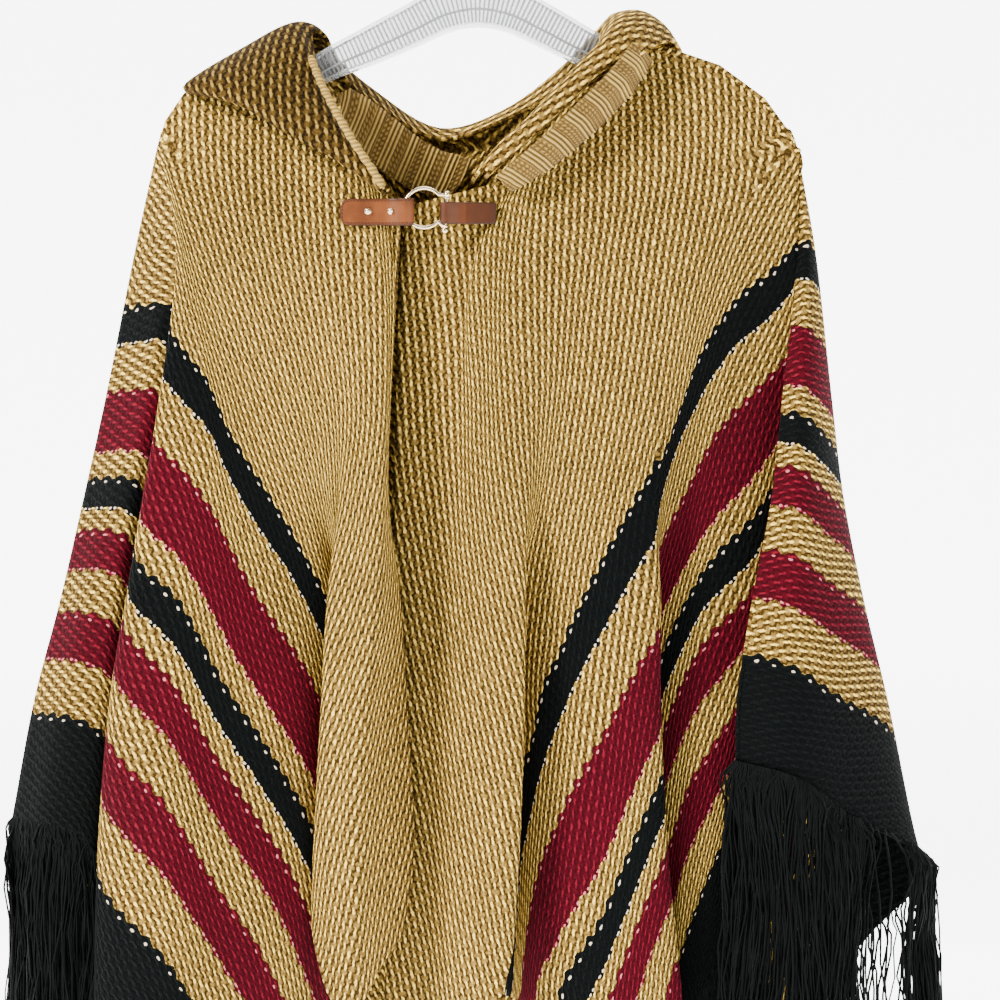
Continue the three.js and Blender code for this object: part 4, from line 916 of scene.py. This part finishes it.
def leather(name, dark_from):
    """Brown leather with a dashed seam and a dark rim, darker where x is beyond dark_from."""
    r = Recipe(name)
    inset = r.node("ShaderNodeAttribute")
    inset.attribute_name = "inset"
    seam = inset.outputs["Fac"]
    u, v = r.cloth_way()
    near = r.sum("LESS_THAN", r.sum("ABSOLUTE", r.sum("SUBTRACT", seam, SEAM_IN)), SEAM_HALF)
    dashes = r.sum("SINE", r.sum("MULTIPLY", r.sum("ADD", u, v), 2 * math.pi / DASH))
    dashes = r.sum("GREATER_THAN", dashes, -0.35)
    thread = r.sum("MULTIPLY", near, dashes)
    rim = r.ramp(r.sum("MULTIPLY", seam, 400.0), [(0.10, (0.30, 0.26, 0.24)), (0.75, (1, 1, 1))], steps=False)
    grain = r.noise(700.0, 4.0)
    blotch = r.noise(60.0, 3.0)
    tone = r.ramp(blotch, [(0.3, (0.62, 0.58, 0.54)), (0.7, (1.28, 1.32, 1.34))], steps=False)
    older = r.sum("GREATER_THAN", r.place_x(), dark_from)
    colour = r.blend(r.sum("MULTIPLY", older, 0.8), LEATHER, tuple(0.55 * c for c in LEATHER))
    colour = r.blend(thread, r.tint(r.tint(colour, tone), rim), (0.030, 0.007, 0.002))
    height = r.sum("SUBTRACT", r.sum("MULTIPLY", grain, 0.4), near)
    return r.surface(
        Base_Color=colour, Roughness=0.42, Specular_IOR_Level=0.25, Normal=r.relief(height, 0.0004, 0.8)
    )


def folded_strap(name, line, height, centre, corner, material):
    """A strip folded along a line seen from above. Its two ends lie on each other and have round corners."""
    at = length_along(line)
    half = height / 2
    across = 12
    mesh = bmesh.new()
    bmesh.ops.create_grid(mesh, x_segments=len(line) - 1, y_segments=across, size=1)
    uv = mesh.loops.layers.uv.new("cloth")
    layer = mesh.verts.layers.float.new("inset")
    ways = {}
    for vert in mesh.verts:
        i = round((vert.co.x + 1) / 2 * (len(line) - 1))
        share = vert.co.y
        reach = min(at[i], at[-1] - at[i])
        narrow = corner - math.sqrt(max(corner ** 2 - max(corner - reach, 0) ** 2, 0))
        z = share * (half - narrow)
        vert[layer] = corner - math.hypot(max(corner - reach, 0), max(abs(z) - (half - corner), 0))
        ways[vert] = (at[i], z)
        vert.co = (line[i][0], line[i][1], centre + z)
    for face in mesh.faces:
        for loop in face.loops:
            loop[uv].uv = ways[loop.vert]
    bmesh.ops.recalc_face_normals(mesh, faces=mesh.faces)
    piece = finished(name, mesh, material)
    wall = piece.modifiers.new("wall", "SOLIDIFY")
    wall.thickness = 0.0018
    wall.offset = 0
    edges = piece.modifiers.new("edges", "BEVEL")
    edges.width = 0.0004
    edges.segments = 2
    edges.limit_method = "ANGLE"
    edges.angle_limit = math.radians(50)
    return piece


def fold_line(end, loop, from_end, from_loop):
    """A strap's line seen from above. Each part gives x from the end or the loop, and y, in millimetres."""
    first, back = [[(end + x / 1000, y / 1000, 0.0) for x, y in part] for part in from_end]
    round_loop = [(loop + x / 1000, y / 1000, 0.0) for x, y in from_loop]
    return smooth_line(first + round_loop + back, 8)


RING_Y = -55.5
NOWHERE = 5.0
start, loop_at = place(340, 212, RING_Y), place(406, 212, RING_Y)
left_line = fold_line(
    start[0], loop_at[0], ([(0, -55.35), (18, -55.40)], [(18, -53.4), (0, -53.4)]),
    [(-12, -55.60), (-4.5, -57.8), (0.5, -58.5), (4.0, -57.2), (4.8, -55.5), (4.0, -53.7), (0.5, -52.6),
     (-6, -53.0), (-12, -53.3)],
)
left_leather = leather("leather_left", NOWHERE)
strap_left = folded_strap("strap_left_leather", left_line, 0.0185, start[2], 0.0060, left_leather)
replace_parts(strap_left, "strap_left")

end, pin_at = place(496, 213, RING_Y), place(446, 213, RING_Y)
right_line = fold_line(
    end[0], pin_at[0], ([(0, -55.35), (-10, -55.40)], [(-10, -53.4), (0, -53.4)]),
    [(10, -55.60), (4.0, -57.2), (0, -58.3), (-2.8, -57.2), (-3.4, -55.5), (-2.8, -53.8), (0, -52.7),
     (5, -53.0), (10, -53.3)],
)
right_leather = leather("leather_right", float(place(466, 213, RING_Y)[0]))
strap_right = folded_strap("strap_right_leather", right_line, 0.0150, end[2], 0.0008, right_leather)
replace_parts(strap_right, "strap_right")

# The ring: a horseshoe of polished pale gold wire whose open side is closed by a pin with a knob at each end.
# The two studs of the left strap are turned from the same metal.
RING_R, WIRE_R, PIN_R, PIN_LENGTH = 0.0137, 0.0013, 0.00115, 0.0275
r = Recipe("pale_gold")
wear_and_painted_shade = r.ramp(r.noise(260.0, 4.0), [(0.35, (0.72, 0.55, 0.33)), (0.70, (0.86, 0.72, 0.50))], steps=False)
pale_gold = r.surface(
    Base_Color=wear_and_painted_shade, Metallic=1.0, Roughness=r.sum("ADD", 0.16, r.sum("MULTIPLY", r.noise(500.0, 3.0), 0.12)),
    Normal=r.relief(r.noise(900.0, 3.0), 0.00004, 0.4),
)

ring_middle = place(424, 208, RING_Y)
knob_top, knob_low = place(447, 196, RING_Y), place(445, 229, RING_Y)
ring_path = [knob_top]
for k in range(49):
    turn = math.pi * (0.24 + 1.52 * k / 48)
    ring_path.append(ring_middle + RING_R * np.array([math.cos(turn), 0, math.sin(turn)]))
ring_path.append(knob_low)
ring_path = np.array(ring_path)
ring_wire = bar("ring_wire", round_rings(ring_path, WIRE_R, 16), pale_gold, length_along(ring_path))
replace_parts(ring_wire, "ring")
pin_way = (knob_top - knob_low) / np.linalg.norm(knob_top - knob_low)
pin_path = np.array([knob_low - pin_way * 0.002 + pin_way * PIN_LENGTH * k / 12 for k in range(13)])
ring_pin = bar("ring_pin", round_rings(pin_path, PIN_R, 14), pale_gold, length_along(pin_path))


def spun(name, profile, middle, axis, material):
    """A turned piece: a profile of (radius, height) spun round an axis through the middle."""
    mesh = bmesh.new()
    points = [mesh.verts.new((radius, 0, height)) for radius, height in profile]
    lines = [mesh.edges.new(pair) for pair in zip(points, points[1:])]
    bmesh.ops.spin(
        mesh, geom=points + lines, cent=(0, 0, 0), axis=(0, 0, 1), angle=2 * math.pi, steps=24, use_merge=True
    )
    bmesh.ops.remove_doubles(mesh, verts=mesh.verts, dist=1e-6)
    bmesh.ops.recalc_face_normals(mesh, faces=mesh.faces)
    turn = Vector((0, 0, 1)).rotation_difference(Vector(axis)).to_matrix().to_4x4()
    bmesh.ops.transform(mesh, matrix=Matrix.Translation(Vector(middle)) @ turn, verts=mesh.verts)
    piece = finished(name, mesh, material)
    return piece


KNOB = [(0, 0.0034), (0.0010, 0.0033), (0.0019, 0.0027), (0.0025, 0.0014), (0.0025, 0.0004),
        (0.0019, -0.0006), (0.0015, -0.0009), (0.0019, -0.0012), (0.0021, -0.0018), (0.0019, -0.0025),
        (0.0, -0.0025)]
spun("knob_top", KNOB, knob_top, tuple(pin_way), pale_gold)
spun("knob_low", KNOB, knob_low, tuple(-pin_way), pale_gold)
STUD = [(0.0, 0.0), (0.0024, 0.0), (0.0026, 0.0002), (0.0022, 0.0007), (0.0013, 0.0009), (0.0011, 0.0013),
        (0.0016, 0.0018), (0.0017, 0.0024), (0.0013, 0.0030), (0.0006, 0.0033), (0.0, 0.0034)]
for name, px in (("stud_outer", 368), ("stud_inner", 391)):
    foot = place(px, 211, -56.2)
    stud = spun(name + "_metal", STUD, foot, (0, -1, 0), pale_gold)
    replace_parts(stud, name)

# The hanger: one moulding of clear plastic, an arch with a flange above and below and thin ribs between them,
# and a hook. Each row is its middle in the view, its half depth and the half width of its flanges.
HANGER = [
    (196, 150, 4, 1.8), (212, 134, 5, 2), (240, 117, 6, 2.2), (285, 94, 8, 2.6), (325, 67, 10.5, 3.8),
    (370, 46, 13, 5), (412, 26, 14.5, 6), (445, 10, 15.5, 6), (478, 4, 16, 6), (511, 10, 15.5, 6),
    (544, 26, 14.5, 6), (586, 48, 13, 4.6), (630, 68, 10, 3.4), (680, 92, 8, 2.4), (720, 114, 6, 2),
    (746, 134, 5, 1.8), (762, 152, 4, 1.6),
]
r = Recipe("clear_plastic")
haze = r.noise(140.0, 3.0)
tone = r.ramp(haze, [(0.3, (0.66, 0.68, 0.69)), (0.7, (0.84, 0.85, 0.85))], steps=False)
clear_plastic = r.surface(
    Base_Color=tone, Roughness=r.sum("ADD", 0.06, r.sum("MULTIPLY", haze, 0.10)), Transmission_Weight=0.72,
    IOR=1.45, Normal=r.relief(r.noise(220.0, 2.0), 0.0002, 0.5),
)
# The ribs and the rail are the same clear plastic as the arch, given a darker grey as painted shade.
ribbed_plastic = Recipe("ribbed_plastic").surface(
    Base_Color=(0.34, 0.35, 0.35, 1), Roughness=0.2, Transmission_Weight=0.45, IOR=1.45
)

hanger_rows = smooth_line([(*place(px, py, 0), deep / 1000, wide / 1000) for px, py, deep, wide in HANGER], 8)
arch = hanger_rows[:, :3]
arch_way = np.gradient(arch, axis=0)
arch_way /= np.linalg.norm(arch_way, axis=1, keepdims=True)
arch_up = np.stack([-arch_way[:, 2], 0 * arch_way[:, 0], arch_way[:, 0]], axis=1)
WEB, FLANGE, RIB_STEP = 0.0012, 0.0026, 0.0032
rings = []
for middle, up, deep, wide in zip(arch, arch_up, hanger_rows[:, 3], hanger_rows[:, 4]):
    inner = deep - min(FLANGE, deep * 0.4)
    cut = [(-wide, -deep), (wide, -deep), (wide, -inner), (WEB, 0.001 - inner), (WEB, inner - 0.001),
           (wide, inner), (wide, deep), (-wide, deep), (-wide, inner), (-WEB, inner - 0.001),
           (-WEB, 0.001 - inner), (-wide, -inner)]
    rings.append([middle + up * b + np.array([0, a, 0]) for a, b in cut])
hanger_arch = bar("hanger_arch", np.array(rings), clear_plastic, length_along(arch))
hanger_arch.data.shade_flat()
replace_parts(hanger_arch, "hanger")

mesh = bmesh.new()
along = length_along(arch)
for at in np.arange(along[-1] * 0.2, along[-1] * 0.8, RIB_STEP):
    *spot, deep, wide = on_path(hanger_rows, along, at)
    up = Vector(on_path(arch_up, along, at)).normalized()
    turn = Vector((0, 0, 1)).rotation_difference(up).to_matrix().to_4x4()
    for low, high in ((-deep + FLANGE, -deep * 0.30), (-deep * 0.22, deep - FLANGE)):
        size = Matrix.Diagonal((WEB, 2 * wide - 0.0016, high - low, 1))
        lift = Matrix.Translation((0, 0, (low + high) / 2))
        bmesh.ops.create_cube(mesh, size=1, matrix=Matrix.Translation(spot) @ turn @ lift @ size)
fins = finished("hanger_ribs", mesh, ribbed_plastic, smooth=False)

rail = []
for middle, up, deep, wide in zip(arch, arch_up, hanger_rows[:, 3], hanger_rows[:, 4]):
    rail.append(middle - up * deep * 0.26 - np.array([0, wide * 0.8, 0]))
rail = np.array(rail[28:100])
hanger_rail = bar("hanger_rail", round_rings(rail, 0.0009, 8), ribbed_plastic, length_along(rail))

hook_path = [(0, 0, -86), (0, 0, -62), (3, 0, -50), (12, 0, -38), (18, 0, -27), (19, 0, -16)]
HOOK_R = 19
for k in range(1, 11):
    turn = math.pi * k / 10 * 1.12
    hook_path.append((HOOK_R * math.cos(turn), 0, -16 + HOOK_R * math.sin(turn)))
hook_path = smooth_line(np.array(hook_path) / 1000, 4)
hook = bar("hanger_hook", round_rings(hook_path, 0.003, 16), clear_plastic, length_along(hook_path))
COLLAR = [(0.0, 0.0), (0.0060, 0.0), (0.0058, 0.004), (0.0052, 0.012), (0.0046, 0.014), (0.0, 0.014)]
spun("hanger_collar", COLLAR, (0, 0, -0.084), (0, 0, 1), clear_plastic)
